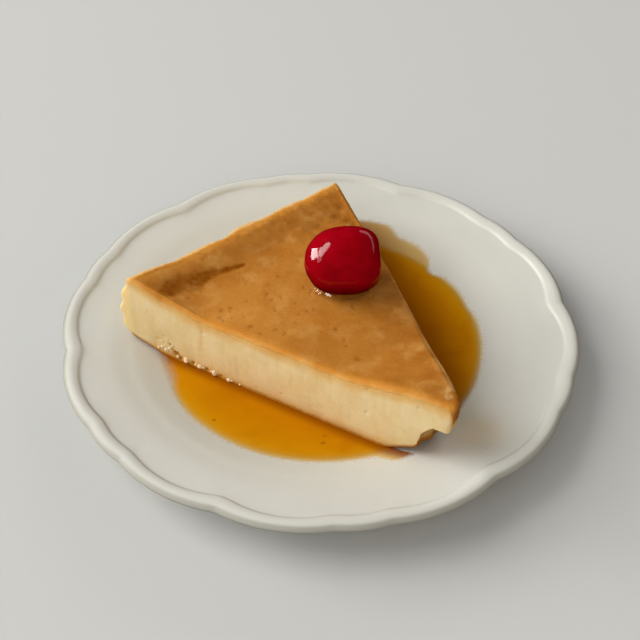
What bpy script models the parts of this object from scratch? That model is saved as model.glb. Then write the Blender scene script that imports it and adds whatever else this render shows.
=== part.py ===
"""Creme caramel: a wedge of set custard flan with its caramel-stained top, a cherry on it and
three pools of caramel sauce round it, all on the scalloped side plate that it is served on.

The origin is the centre of the plate's foot, on the table, with +Z up. The slice's long cut
face looks towards -Y. Sizes are in millimetres, and MM turns them into Blender's metres.
"""

import math

import bmesh
import bpy
from mathutils import Matrix, Vector

MM = 0.001
GAP = 0.3

# Plate
PLATE_RADIUS = 85.0
PLATE_FLOOR = 4.5
PLATE_TOP = ((0.0, 4.5), (36.0, 4.5), (45.0, 5.3), (54.2, 8.2), (62.0, 10.7), (72.0, 12.5), (82.0, 13.7))
RIM_SIXTHS = 6
RIM_NOTCH_ANGLE = math.radians(-50.87)
NARROW_LOBE = math.radians(11.7)
DEEP_NOTCH = 1.9
SHALLOW_NOTCH = 1.07
NARROW_LOBE_DROP = 0.45
LOBE_SHARPNESS = 0.75
WIDE_LOBE_STEPS = 8
NARROW_LOBE_STEPS = 4
# Rim bead, from the inside outwards: inset from the outline, height, how much the scallop shows
RIM_BEAD = (
    (16.0, 12.25, 0.0),
    (10.0, 13.05, 0.7),
    (6.2, 13.5, 1.7),
    (5.0, 13.75, 1.8),
    (4.2, 14.5, 1.6),
    (2.6, 15.0, 1.25),
    (1.1, 14.75, 1.05),
    (0.2, 14.0, 1.0),
    (0.0, 13.2, 1.0),
    (0.7, 12.1, 1.0),
    (2.6, 10.9, 0.9),
    (8.0, 9.7, 0.3),
)
PLATE_OVER = (64.0, 59.0, 54.2, 50.0, 45.0, 40.0)
# Underside and foot ring, from the rim inwards: radius and height
PLATE_UNDER = (
    (68.0, 8.1),
    (59.0, 5.9),
    (53.2, 3.6),
    (51.0, 1.9),
    (50.3, 0.35),
    (49.8, 0.0),
    (46.6, 0.0),
    (46.0, 0.4),
    (45.2, 1.3),
)

# Slice of flan: corners seen from above, where its four upright sides meet
CORNER_LEFT = (-61.5, -2.5)
CORNER_TIP_FRONT = (39.0, -58.2)
CORNER_TIP_BACK = (41.0, -55.0)
CORNER_FAR = (5.3, 53.9)
CORNER_ROUNDING = 1.6
FRONT_SIDE, TIP_SIDE, BACK_SIDE, OUTER_SIDE = range(4)
# Points along each side in that order, and how much they crowd towards the tip
SIDE_STEPS = ((34, 0.19), (1, 0.0), (26, -0.17), (24, 0.0))
BACK_BOW = 2.3
OUTER_WAVE = 0.45
WAVE_TURNS = 4.5
CORNER_SHARE = 0.3
SLICE_TOP = 31.3
VERGE_LIFT = 3.9
VERGE_LIFT_TIP = 0.8
VERGE_LIFT_FAR = 2.0
VERGE_START = 38.0
VERGE_END = 64.0
SETTLE_DEPTH = 0.7
SETTLE_PLACE = (-37.0, -15.0)
SETTLE_WIDTH = 9.5
RIPPLE = 0.25
CARAMEL_DEPTH = 1.5
TOP_EDGE_ROUNDING = 0.7
FOOT_ROUNDING = 0.5
OUTER_BULGE = 3.9
OUTER_SAG = 0.7
OUTER_RIDGE = 0.6
OUTER_RIDGES = 3
OUTER_LIP = 2.2
OUTER_LIP_WIDTH = 13.0
CUT_BULGE = 0.45
TIP_SLANT = 2.2
TIP_LIFT = 3.1
TIP_LIFT_START = 49.0
TIP_LIFT_END = 61.0
FOOT_SHARE = 0.03
SEAM_SHARE = 0.94
TOP_RINGS = (0.965, 0.86, 0.7, 0.5, 0.28)
BOTTOM_RINGS = (0.95, 0.87, 0.68, 0.45, 0.22)

# Piece broken away under the slice's tip: a ragged face that climbs to a ceiling
BREAK_START = (28.0, -52.3)
BREAK_END = (37.4, -44.4)
BREAK_FOOT = 13.0
BREAK_CEILING = 25.7
BREAK_RUN = 5.5
BREAK_STEEPNESS = 0.75
BREAK_STEPS = 5
BREAK_REACH = 30.0
BREAK_SLICES = 14
BREAK_RAGGED = 0.5

# Cherry
CHERRY_PLACE = (7.0, 2.2)
CHERRY_SIZE = (24.4, 22.6, 18.4)
CHERRY_SQUARENESS = 2.55
CHERRY_SIDES = 24
CHERRY_BANDS = 14
CHERRY_TILT = math.radians(-5.0)

# Caramel sauce
SAUCE_LEVEL = 8.2
SAUCE_RADIUS = 52.6
SAUCE_STEPS = 18
SAUCE_RINGS = (0.93, 0.75, 0.4)
POOL_TRIES = 5

# Colour in linear light, roughness
GLAZE = ((0.62, 0.585, 0.5), 0.14)
CUSTARD = ((0.68, 0.47, 0.22), 0.42)
CARAMEL = ((0.42, 0.15, 0.028), 0.28)
SAUCE = ((0.38, 0.13, 0.006), 0.06)
CHERRY = ((0.2, 0.003, 0.005), 0.08)


def clear_scene():
    for thing in list(bpy.data.objects):
        bpy.data.objects.remove(thing, do_unlink=True)


def finish_material(name, finish):
    colour, roughness = finish
    material = bpy.data.materials.new(name)
    material.use_nodes = True
    shader = material.node_tree.nodes["Principled BSDF"]
    shader.inputs["Base Color"].default_value = (*colour, 1.0)
    shader.inputs["Roughness"].default_value = roughness
    shader.inputs["Metallic"].default_value = 0.0
    return material


def smoothstep(low, high, value):
    share = min(max((value - low) / (high - low), 0.0), 1.0)
    return share * share * (3.0 - 2.0 * share)


def smooth_curve(points, x):
    """Height of a smooth curve through (x, height) points, with no overshoot between them."""
    if x >= points[-1][0]:
        return points[-1][1]
    slopes = [(b[1] - a[1]) / (b[0] - a[0]) for a, b in zip(points, points[1:])]
    tangents = [slopes[0]]
    for before, after in zip(slopes, slopes[1:]):
        product = before * after
        tangents.append(2.0 * product / (before + after) if product > 0.0 else 0.0)
    tangents.append(slopes[-1])
    for index, (low, high) in enumerate(zip(points, points[1:])):
        if x <= high[0]:
            width = high[0] - low[0]
            t = (x - low[0]) / width
            value = (2 * t**3 - 3 * t**2 + 1) * low[1] + (3 * t**2 - 2 * t**3) * high[1]
            value += width * (t**3 - 2 * t**2 + t) * tangents[index]
            value += width * (t**3 - t**2) * tangents[index + 1]
            return value
    return points[-1][1]


def solid_from_rings(name, rings, lower_centre, upper_centre, material):
    """Closed body from rings of equal length, listed from the lower centre to the upper one."""
    bm = bmesh.new()
    rows = [[bm.verts.new([c * MM for c in point]) for point in ring] for ring in rings]
    low = bm.verts.new([c * MM for c in lower_centre])
    high = bm.verts.new([c * MM for c in upper_centre])
    count = len(rows[0])
    for index in range(count):
        after = (index + 1) % count
        bm.faces.new((low, rows[0][after], rows[0][index]))
        bm.faces.new((high, rows[-1][index], rows[-1][after]))
        for under, over in zip(rows, rows[1:]):
            bm.faces.new((under[index], under[after], over[after], over[index]))
    bmesh.ops.triangulate(bm, faces=[face for face in bm.faces if len(face.verts) > 3])
    mesh = bpy.data.meshes.new(name)
    bm.to_mesh(mesh)
    bm.free()
    mesh.materials.append(material)
    mesh.shade_smooth()
    mesh.set_sharp_from_angle(angle=math.radians(40))
    piece = bpy.data.objects.new(name, mesh)
    bpy.context.scene.collection.objects.link(piece)
    return piece


def centre_of(outline):
    count = len(outline)
    return sum(p[0] for p in outline) / count, sum(p[1] for p in outline) / count


def shrunk(outline, centre, share):
    return [(centre[0] + (x - centre[0]) * share, centre[1] + (y - centre[1]) * share) for x, y in outline]


def plate_height(x, y):
    return smooth_curve(PLATE_TOP, math.hypot(x, y))


def rim_angles():
    """Directions of the rim's points, closer together near the notches, round the whole plate."""
    sixth = 2.0 * math.pi / RIM_SIXTHS
    wide = (sixth - NARROW_LOBE) / 2.0
    lobes = (
        (0.0, wide, WIDE_LOBE_STEPS),
        (wide, NARROW_LOBE, NARROW_LOBE_STEPS),
        (wide + NARROW_LOBE, wide, WIDE_LOBE_STEPS),
    )
    angles = []
    for turn in range(RIM_SIXTHS):
        for start, width, steps in lobes:
            for step in range(steps):
                share = 0.5 - 0.5 * math.cos(math.pi * step / steps)
                angles.append(turn * sixth + start + width * share)
    return angles


def rim_dip(angle):
    """How far the scalloped outline stands inside the plate's full radius, angle from a deep notch."""
    sixth = 2.0 * math.pi / RIM_SIXTHS
    wide = (sixth - NARROW_LOBE) / 2.0
    angle = angle % sixth
    if angle > sixth / 2.0:
        angle = sixth - angle
    if angle < wide:
        share = angle / wide
        chord = DEEP_NOTCH + (SHALLOW_NOTCH - DEEP_NOTCH) * share
        mean = (DEEP_NOTCH + SHALLOW_NOTCH) / 2.0
        return max(chord - mean * math.sin(math.pi * share) ** LOBE_SHARPNESS, 0.0)
    share = (angle - wide) / NARROW_LOBE
    return SHALLOW_NOTCH - (SHALLOW_NOTCH - NARROW_LOBE_DROP) * math.sin(math.pi * share) ** LOBE_SHARPNESS


def plate_ring(inset, height, show=0.0):
    """Ring of points on the plate, at an inset from its full radius, with a share of the scallop."""
    ring = []
    for angle in rim_angles():
        radius = PLATE_RADIUS - inset - rim_dip(angle) * show
        turn = RIM_NOTCH_ANGLE + angle
        ring.append((radius * math.cos(turn), radius * math.sin(turn), height))
    return ring


def build_plate():
    under = [plate_ring(PLATE_RADIUS - radius, height) for radius, height in reversed(PLATE_UNDER)]
    rim = [plate_ring(*row) for row in reversed(RIM_BEAD)]
    over = [plate_ring(PLATE_RADIUS - radius, plate_height(radius, 0.0)) for radius in PLATE_OVER]
    recess = PLATE_UNDER[-1][1]
    glaze = finish_material("glaze", GLAZE)
    solid_from_rings("plate", under + rim + over, (0, 0, recess), (0, 0, PLATE_FLOOR), glaze)


def slice_top(x, y):
    """Top of the slice: sagging over the plate's floor, lifted on the verge and along the lip."""
    radius = math.hypot(x, y)
    towards_tip = smoothstep(-10.0, 22.0, x) * smoothstep(10.0, -20.0, y)
    towards_far = smoothstep(20.0, 50.0, y)
    verge = VERGE_LIFT + VERGE_LIFT_TIP * towards_tip - VERGE_LIFT_FAR * towards_far
    verge *= smoothstep(VERGE_START - 5.0 * towards_tip, VERGE_END - 2.0 * towards_tip, radius)
    normal = side_normals()[OUTER_SIDE]
    inwards = (CORNER_FAR[0] - x) * normal[0] + (CORNER_FAR[1] - y) * normal[1]
    lip = (OUTER_LIP - 0.8 * towards_far) * smoothstep(OUTER_LIP_WIDTH, 0.0, inwards)
    settle = SETTLE_DEPTH * math.exp(-(math.dist((x, y), SETTLE_PLACE) / SETTLE_WIDTH) ** 2)
    ripple = RIPPLE * math.sin(x / 11.0 + 0.6) * math.cos(y / 13.0)
    return SLICE_TOP + math.hypot(verge, lip) - settle + ripple


def slice_bottom(x, y):
    """Underside of the slice: it follows the plate, and its stiff tip stands off the verge."""
    towards_tip = smoothstep(0.0, 20.0, x) * smoothstep(-20.0, -40.0, y)
    lift = TIP_LIFT * towards_tip * smoothstep(TIP_LIFT_START, TIP_LIFT_END, math.hypot(x, y))
    return plate_height(x, y) + GAP + lift


def line_meeting(point_a, normal_a, point_b, normal_b):
    """Where the lines through two points, square to their normals, meet."""
    reach_a = point_a[0] * normal_a[0] + point_a[1] * normal_a[1]
    reach_b = point_b[0] * normal_b[0] + point_b[1] * normal_b[1]
    cross = normal_a[0] * normal_b[1] - normal_a[1] * normal_b[0]
    x = (reach_a * normal_b[1] - reach_b * normal_a[1]) / cross
    y = (normal_a[0] * reach_b - normal_b[0] * reach_a) / cross
    return x, y


def slice_corners():
    return (CORNER_LEFT, CORNER_TIP_FRONT, CORNER_TIP_BACK, CORNER_FAR)


def side_normals():
    """Outward directions of the front cut, tip end, back cut and outer sides."""
    corners = slice_corners()
    normals = []
    for here, there in zip(corners, corners[1:] + corners[:1]):
        run_x, run_y = there[0] - here[0], there[1] - here[1]
        length = math.hypot(run_x, run_y)
        normals.append((run_y / length, -run_x / length))
    return normals


def cut_move(share):
    """How far a knife-cut side stands out, at a share of the slice's height."""
    return CUT_BULGE * math.sin(math.pi * share)


def outer_move(share):
    """How far the moulded outer side stands out: it slumps and is ridged all along."""
    ridge = abs((share * OUTER_RIDGES) % 1.0 - 0.5) * 2.0
    return OUTER_BULGE * math.sin(math.pi * share**OUTER_SAG) + OUTER_RIDGE * (0.5 - ridge)


def tip_move(share):
    """How far the small end face stands out: it slants in towards its foot."""
    return cut_move(share) - TIP_SLANT * (1.0 - share)


def side_swell(side, along):
    """How far a side bows or waves out of its straight line, at a share of its length."""
    arch = max(math.sin(math.pi * along), 0.0)
    if side == BACK_SIDE:
        return BACK_BOW * arch**0.7
    if side == OUTER_SIDE:
        return OUTER_WAVE * arch * math.sin(WAVE_TURNS * 2.0 * math.pi * along + 1.0)
    return 0.0


def corner_trim(here, there):
    """Share of a side's length that its corners' rounding takes at each end."""
    length = math.dist(here, there)
    return min(CORNER_ROUNDING, length * CORNER_SHARE) / length


def between(here, there, share):
    return here[0] + (there[0] - here[0]) * share, here[1] + (there[1] - here[1]) * share


def slice_outline(share, inset=0.0):
    """Rounded outline of the slice at a share of its height, moved in all round by the inset."""
    normals = side_normals()
    moves = (cut_move(share), tip_move(share), cut_move(share), outer_move(share))
    on_side = [
        (corner[0] + normal[0] * (move - inset), corner[1] + normal[1] * (move - inset))
        for corner, normal, move in zip(slice_corners(), normals, moves)
    ]
    meetings = [
        line_meeting(on_side[side - 1], normals[side - 1], on_side[side], normals[side])
        for side in range(len(normals))
    ]
    outline = []
    for side, (steps, crowding) in enumerate(SIDE_STEPS):
        here, there, beyond = meetings[side], meetings[(side + 1) % 4], meetings[(side + 2) % 4]
        trim = corner_trim(here, there)
        for step in range(steps + 1):
            even = step / steps
            along = even + crowding * math.sin(math.pi * even)
            x, y = between(here, there, trim + (1.0 - 2.0 * trim) * along)
            swell = side_swell(side, along)
            outline.append((x + normals[side][0] * swell, y + normals[side][1] * swell))
        first = between(there, beyond, corner_trim(there, beyond))
        outline.append(between(between(outline[-1], first, 0.5), there, 0.5))
    return outline


def wall_ring(share):
    """One level of the slice's sides, at a share of its height."""
    ring = []
    for (x, y), (foot_x, foot_y) in zip(slice_outline(share), slice_outline(0.0)):
        low, high = slice_bottom(foot_x, foot_y), slice_top(foot_x, foot_y)
        ring.append((x, y, low + (high - low) * share))
    return ring


def side_levels():
    """Shares of the height where the sides are drawn, one on each ridge and hollow."""
    steps = 2 * OUTER_RIDGES
    return [FOOT_SHARE] + [step / steps for step in range(1, steps)]


def cap_rings(outline, shares, height):
    """Rings across a cap, from its edge towards the middle, on the surface that height gives."""
    centre = centre_of(outline)
    return [[(x, y, height(x, y)) for x, y in shrunk(outline, centre, share)] for share in shares]


def build_break_cutter():
    """Ragged wedge that takes the broken piece out from under the tip."""
    length = math.dist(BREAK_START, BREAK_END)
    along = ((BREAK_END[0] - BREAK_START[0]) / length, (BREAK_END[1] - BREAK_START[1]) / length)
    beyond = (along[1], -along[0])
    profile = [(-BREAK_RAGGED, 0.0), (-BREAK_RAGGED / 2.0, BREAK_FOOT - 2.0)]
    for step in range(BREAK_STEPS + 1):
        share = step / BREAK_STEPS
        climb = (BREAK_CEILING - BREAK_FOOT) * share**BREAK_STEEPNESS
        profile.append((BREAK_RUN * share, BREAK_FOOT + climb))
    profile += [(BREAK_REACH, BREAK_CEILING), (BREAK_REACH, 0.0)]
    bm = bmesh.new()
    rows = []
    for index in range(BREAK_SLICES + 1):
        place = BREAK_REACH * (index / BREAK_SLICES - 0.25)
        row = []
        for out, height in profile:
            if out < BREAK_REACH:
                out += BREAK_RAGGED * math.sin(place * 1.1 + height * 0.45)
            x = BREAK_START[0] + along[0] * place + beyond[0] * out
            y = BREAK_START[1] + along[1] * place + beyond[1] * out
            row.append(bm.verts.new((x * MM, y * MM, height * MM)))
        rows.append(row)
    count = len(profile)
    for here, there in zip(rows, rows[1:]):
        for index in range(count):
            after = (index + 1) % count
            bm.faces.new((here[index], there[index], there[after], here[after]))
    bm.faces.new(rows[0])
    bm.faces.new(rows[-1][::-1])
    bmesh.ops.triangulate(bm, faces=bm.faces[:])
    bmesh.ops.recalc_face_normals(bm, faces=bm.faces[:])
    mesh = bpy.data.meshes.new("break_cutter")
    bm.to_mesh(mesh)
    bm.free()
    cutter = bpy.data.objects.new("break_cutter", mesh)
    bpy.context.scene.collection.objects.link(cutter)
    cutter.hide_render = True
    cutter.display_type = "WIRE"
    return cutter


def custard_top(x, y):
    return caramel_bottom(x, y) - GAP


def caramel_bottom(x, y):
    return slice_top(x, y) - CARAMEL_DEPTH


def edge_ring(outline, drop):
    """Ring near the slice's top edge, a drop below the top's height over the foot of the wall."""
    return [(x, y, slice_top(*foot) - drop) for (x, y), foot in zip(outline, slice_outline(0.0))]


def build_custard():
    foot = slice_outline(0.0, FOOT_ROUNDING)
    seam = slice_outline(SEAM_SHARE)
    rings = cap_rings(foot, (1.0,) + BOTTOM_RINGS, slice_bottom)[::-1]
    rings += [wall_ring(share) for share in side_levels()]
    rings.append(edge_ring(seam, CARAMEL_DEPTH + GAP))
    rings += cap_rings(seam, TOP_RINGS, custard_top)
    low, high = centre_of(foot), centre_of(seam)
    custard = solid_from_rings(
        "custard",
        rings,
        (*low, slice_bottom(*low)),
        (*high, custard_top(*high)),
        finish_material("custard", CUSTARD),
    )
    broken = custard.modifiers.new("broken tip", "BOOLEAN")
    broken.operation = "DIFFERENCE"
    broken.solver = "EXACT"
    broken.object = build_break_cutter()


def build_caramel_top():
    seam = slice_outline(SEAM_SHARE)
    rounded = slice_outline(1.0, TOP_EDGE_ROUNDING)
    rings = cap_rings(seam, TOP_RINGS, caramel_bottom)[::-1]
    rings.append(edge_ring(seam, CARAMEL_DEPTH))
    rings.append(edge_ring(seam, TOP_EDGE_ROUNDING))
    rings.append(edge_ring(rounded, 0.0))
    rings += cap_rings(rounded, TOP_RINGS, slice_top)
    low, high = centre_of(seam), centre_of(rounded)
    solid_from_rings(
        "caramel_top",
        rings,
        (*low, caramel_bottom(*low)),
        (*high, slice_top(*high)),
        finish_material("caramel", CARAMEL),
    )


def build_cherry():
    """Drained, candied cherry: a ball grown squarish, set down on the caramel."""
    tilt = Matrix.Rotation(CHERRY_TILT, 3, "Y")
    rings = []
    for band in range(1, CHERRY_BANDS):
        rise = math.pi * (band / CHERRY_BANDS - 0.5)
        ring = []
        for side in range(CHERRY_SIDES):
            turn = 2.0 * math.pi * side / CHERRY_SIDES
            way = (math.cos(rise) * math.cos(turn), math.cos(rise) * math.sin(turn), math.sin(rise))
            reach = sum(abs(c) ** CHERRY_SQUARENESS for c in way) ** (-1.0 / CHERRY_SQUARENESS)
            ring.append(Vector([c * reach * size / 2.0 for c, size in zip(way, CHERRY_SIZE)]))
        rings.append(ring)
    half = CHERRY_SIZE[2] / 2.0
    red = finish_material("cherry", CHERRY)
    cherry = solid_from_rings("cherry", rings, (0, 0, -half), (0, 0, half), red)
    x, y = CHERRY_PLACE
    tilted = [tilt @ point for ring in rings for point in ring]
    sunk = min(point.z - slice_top(x + point.x, y + point.y) for point in tilted)
    cherry.location = (x * MM, y * MM, (GAP - sunk) * MM)
    cherry.rotation_euler.y = CHERRY_TILT


def pool_outline(side, clearance):
    """Outline of a pool: an arc on the plate's verge, closed along one side of the slice."""
    normal = side_normals()[side]
    here, there = slice_corners()[side], slice_corners()[(side + 1) % 4]
    length = math.dist(here, there)
    chord = here[0] * normal[0] + here[1] * normal[1] + clearance

    def beside(x, y):
        along = ((y - here[1]) * normal[0] - (x - here[0]) * normal[1]) / length
        return chord + (side_swell(side, along) if side == BACK_SIDE else 0.0)

    def arc_end(turn):
        """Angle from the arc's middle at which it meets the slice's side."""
        angle = turn * math.acos(chord / SAUCE_RADIUS)
        for _ in range(POOL_TRIES):
            x, y = SAUCE_RADIUS * math.cos(middle + angle), SAUCE_RADIUS * math.sin(middle + angle)
            angle = turn * math.acos(beside(x, y) / SAUCE_RADIUS)
        return middle + angle

    middle = math.atan2(normal[1], normal[0])
    first, last = arc_end(-1.0), arc_end(1.0)
    outline = []
    for step in range(SAUCE_STEPS + 1):
        angle = first + (last - first) * step / SAUCE_STEPS
        outline.append((SAUCE_RADIUS * math.cos(angle), SAUCE_RADIUS * math.sin(angle)))
    start, end = outline[-1], outline[0]
    for step in range(1, SAUCE_STEPS):
        share = step / SAUCE_STEPS
        x, y = start[0] + (end[0] - start[0]) * share, start[1] + (end[1] - start[1]) * share
        short = beside(x, y) - (x * normal[0] + y * normal[1])
        outline.append((x + normal[0] * short, y + normal[1] * short))
    return outline


def build_sauce(name, side, clearance, material):
    """Pool of sauce between one side of the slice and the plate's verge, level on top."""
    outline = pool_outline(side, clearance)

    def bed(x, y):
        return plate_height(x, y) + GAP

    def level(x, y):
        return SAUCE_LEVEL

    centre = centre_of(outline)
    under = cap_rings(outline, (1.0,) + SAUCE_RINGS, bed)[::-1]
    over = cap_rings(outline, (1.0,) + SAUCE_RINGS, level)
    solid_from_rings(name, under + over, (*centre, bed(*centre)), (*centre, SAUCE_LEVEL), material)


def build_pools():
    sauce = finish_material("sauce", SAUCE)
    wet = (SAUCE_LEVEL - PLATE_FLOOR) / (SLICE_TOP - PLATE_FLOOR)
    beside_cut = cut_move(wet) + GAP
    beside_outer = outer_move(wet) + OUTER_RIDGE + OUTER_WAVE + GAP
    build_sauce("sauce_front", FRONT_SIDE, beside_cut, sauce)
    build_sauce("sauce_right", BACK_SIDE, beside_cut, sauce)
    build_sauce("sauce_back", OUTER_SIDE, beside_outer, sauce)


clear_scene()
build_plate()
build_custard()
build_caramel_top()
build_cherry()
build_pools()
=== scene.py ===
"""Looks of the creme caramel: the plate's glaze, the custard and its caramel, the cherry and the sauce.

Lengths are in millimetres in the row frame, and MM turns them into Blender's metres.
"""

import math
import random

import bmesh
import bpy
import numpy as np
from mathutils import Matrix, Vector, geometry, noise


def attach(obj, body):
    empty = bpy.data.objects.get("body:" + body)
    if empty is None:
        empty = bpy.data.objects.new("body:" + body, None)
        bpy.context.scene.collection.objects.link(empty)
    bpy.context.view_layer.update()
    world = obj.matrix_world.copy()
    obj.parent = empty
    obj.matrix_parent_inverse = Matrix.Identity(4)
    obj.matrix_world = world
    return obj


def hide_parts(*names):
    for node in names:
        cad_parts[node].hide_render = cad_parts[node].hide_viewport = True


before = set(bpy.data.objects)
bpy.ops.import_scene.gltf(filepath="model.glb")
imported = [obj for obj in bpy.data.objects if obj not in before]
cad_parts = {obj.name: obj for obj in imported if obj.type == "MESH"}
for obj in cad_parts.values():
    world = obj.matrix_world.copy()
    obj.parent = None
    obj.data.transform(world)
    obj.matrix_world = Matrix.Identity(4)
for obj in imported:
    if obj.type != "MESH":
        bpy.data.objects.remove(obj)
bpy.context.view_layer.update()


# Camera, floor and light. The camera looks down on the plate at 43 degrees, as the photo does, over a
# plain pale floor. A window at the left, a little behind, gives the main light. A lamp either lights
# the pieces or shines in their gloss, and the cherry and its syrup have lamps of their own.
MM = 0.001
CAMERA_PLACE = (-0.04, -313.51, 308.23)
CAMERA_TARGET = (-0.04, 1.94, 15.0)
CAMERA_ROLL = math.radians(0.758)
CAMERA_LENS = 73.29
CAMERA_SENSOR = 36.0
CAMERA_NEAR = 0.01
FLOOR_HALF = 1500.0
FLOOR_COLOUR = (0.62, 0.62, 0.6)
FLOOR_ROUGHNESS = 0.7
ROOM_COLOUR = (0.97, 0.98, 1.0)
ROOM_STRENGTH = 0.22
LAMP_DISTANCE = 3000.0
LAMP_TARGET = (0.0, 0.0, 15.0)
# Direction from the slice, width, height, watts, colour, whether it lights or shines
LAMPS = {
    "window_shine": ((-0.86, 0.3, 0.5), 2100.0, 1150.0, 24.0, (1.0, 0.99, 0.97), "shines"),
    "window_light": ((-0.9, 0.26, 0.34), 2000.0, 1300.0, 57.0, (1.0, 0.99, 0.96), "lights"),
    "sky_light": ((-0.69, 0.06, 0.72), 2400.0, 1800.0, 49.0, (1.0, 0.99, 0.97), "lights"),
    "front_fill": ((-0.35, -0.8, 0.6), 2600.0, 2000.0, 29.0, (1.0, 0.99, 0.98), "lights"),
    "right_wall": ((0.85, -0.25, 0.4), 2600.0, 1500.0, 9.0, (1.0, 0.74, 0.44), "lights"),
    "back_wall": ((0.3, 0.92, 0.35), 2000.0, 900.0, 15.0, (1.0, 0.98, 0.95), "lights"),
    "cherry_window": ((-0.76, 0.5, 0.24), 1350.0, 1250.0, 80.0, (1.0, 0.99, 0.98), "shines"),
    "cherry_window_top": ((-0.62, 0.58, 0.66), 1700.0, 700.0, 32.0, (1.0, 0.99, 0.98), "shines"),
    "cherry_back_glint": ((0.5, 0.8, 0.3), 2400.0, 350.0, 4.0, (1.0, 0.8, 0.78), "shines"),
    "ring_window": ((-0.88, 0.08, 0.42), 3600.0, 1300.0, 190.0, (1.0, 0.99, 0.98), "shines"),
}


def add_object(name, contents):
    made = bpy.data.objects.new(name, contents)
    bpy.context.scene.collection.objects.link(made)
    return made


def aim(thing, place, target):
    thing.location = Vector(place) * MM
    look = (Vector(target) - Vector(place)).to_track_quat("-Z", "Y")
    thing.rotation_euler = look.to_euler()


def add_lamp(name, direction, width, height, watts, colour, use):
    lamp = bpy.data.lights.new(name, "AREA")
    lamp.shape = "RECTANGLE"
    lamp.size = width * MM
    lamp.size_y = height * MM
    lamp.energy = watts
    lamp.color = colour
    holder = add_object(name, lamp)
    holder.visible_diffuse = use == "lights"
    holder.visible_glossy = use == "shines"
    aim(holder, Vector(direction).normalized() * LAMP_DISTANCE, LAMP_TARGET)


lens = bpy.data.cameras.new("camera")
lens.lens = CAMERA_LENS
lens.sensor_width = CAMERA_SENSOR
lens.clip_start = CAMERA_NEAR
camera = add_object("camera", lens)
aim(camera, CAMERA_PLACE, CAMERA_TARGET)
camera.rotation_euler.rotate_axis("Z", CAMERA_ROLL)
bpy.context.scene.camera = camera

for name, facts in LAMPS.items():
    add_lamp(name, *facts)
room = bpy.data.worlds.new("room")
room.use_nodes = True
room_shader = room.node_tree.nodes["Background"]
room_shader.inputs["Color"].default_value = (*ROOM_COLOUR, 1.0)
room_shader.inputs["Strength"].default_value = ROOM_STRENGTH
room.cycles_visibility.glossy = False
bpy.context.scene.world = room
bpy.context.scene.view_settings.view_transform = "Standard"

half = FLOOR_HALF * MM
corners = [(x * half, y * half, 0.0) for x, y in ((-1, -1), (1, -1), (1, 1), (-1, 1))]
floor_mesh = bpy.data.meshes.new("floor")
floor_mesh.from_pydata(corners, [], [(0, 1, 2, 3)])
floor = add_object("floor", floor_mesh)
floor_finish = bpy.data.materials.new("floor")
floor_finish.use_nodes = True
floor_shader = floor_finish.node_tree.nodes["Principled BSDF"]
floor_shader.inputs["Base Color"].default_value = (*FLOOR_COLOUR, 1.0)
floor_shader.inputs["Roughness"].default_value = FLOOR_ROUGHNESS
floor_mesh.materials.append(floor_finish)
floor.visible_glossy = False


# Plate. A pressed stoneware side plate under an off-white glaze, with a raised bead round its
# scalloped edge. The glaze pools a little in the creases below the notches, and the foot ring
# that it stood on in the kiln is left bare.
PLATE_RADIUS = 85.0
PLATE_FLOOR = 4.5
PLATE_TOP = ((0.0, 4.5), (36.0, 4.5), (45.0, 5.3), (54.2, 8.2), (62.0, 10.7), (72.0, 12.5), (82.0, 13.7))
RIM_SIXTHS = 6
RIM_SIXTH = 2.0 * math.pi / RIM_SIXTHS
RIM_NOTCH_ANGLE = math.radians(-50.87)
NARROW_LOBE = math.radians(11.7)
WIDE_LOBE = (RIM_SIXTH - NARROW_LOBE) / 2.0
DEEP_NOTCH = 1.9
SHALLOW_NOTCH = 1.07
NARROW_LOBE_DROP = 0.45
LOBE_SHARPNESS = 0.75
WIDE_LOBE_STEPS = 30
NARROW_LOBE_STEPS = 14
# From the inside outwards: inset from the full radius, height, how much the scallop shows
RIM_BEAD = (
    (16.0, 12.25, 0.0), (10.0, 13.05, 0.7), (6.2, 13.5, 1.7), (5.0, 13.75, 1.8),
    (4.2, 14.5, 1.6), (2.6, 15.0, 1.25), (1.1, 14.75, 1.05), (0.2, 14.0, 1.0),
    (0.0, 13.2, 1.0), (0.7, 12.1, 1.0), (2.6, 10.9, 0.9), (8.0, 9.7, 0.3),
)
PLATE_OVER = (64, 61, 58, 55, 52, 49, 46, 43, 40, 36, 30, 22, 12)
PLATE_UNDER = (
    (68.0, 8.1), (59.0, 5.9), (53.2, 3.6), (51.0, 1.9), (50.3, 0.35), (49.8, 0.0),
    (46.6, 0.0), (46.0, 0.4), (45.2, 1.3), (30.0, 1.3), (12.0, 1.3),
)
BEAD_STEPS = 4
CREASE_DEPTH = 0.13
CREASE_WIDTH = 2.6
CREASE_START = 4.5
CREASE_FULL = 6.5
CREASE_END = 17.0
CREASE_FLOOR = 10.0
# Glaze rounds the scallop off: spread of its notches at the edge and inside the bead, and the shares
# of that spread at which the outline is averaged
NOTCH_SPREAD = math.radians(1.0)
NOTCH_SPREAD_INSIDE = math.radians(3.0)
NOTCH_SHIFTS = (-1.0, -0.66, -0.33, 0.0, 0.33, 0.66, 1.0)
NOTCH_FALLOFF = 0.75
GLAZE_COLOUR = (0.69, 0.68, 0.615)
GLAZE_THIN_AND_SHADE_COLOUR = (0.4, 0.385, 0.32)
GLAZE_SMEAR_AND_SHADE_COLOUR = (0.66, 0.46, 0.2)
GLAZE_ROUGHNESS = 0.27
# The rim's outer flank is darker: partly thin glaze, mostly painted shade of the flank that faces down
# and away from the light. Most darkening, inset from and to, height from and to
THIN_AND_SHADE_SHARE = 0.85
THIN_AND_SHADE_INSETS = (3.4, 2.7)
THIN_AND_SHADE_HEIGHTS = (14.98, 14.5)
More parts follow.
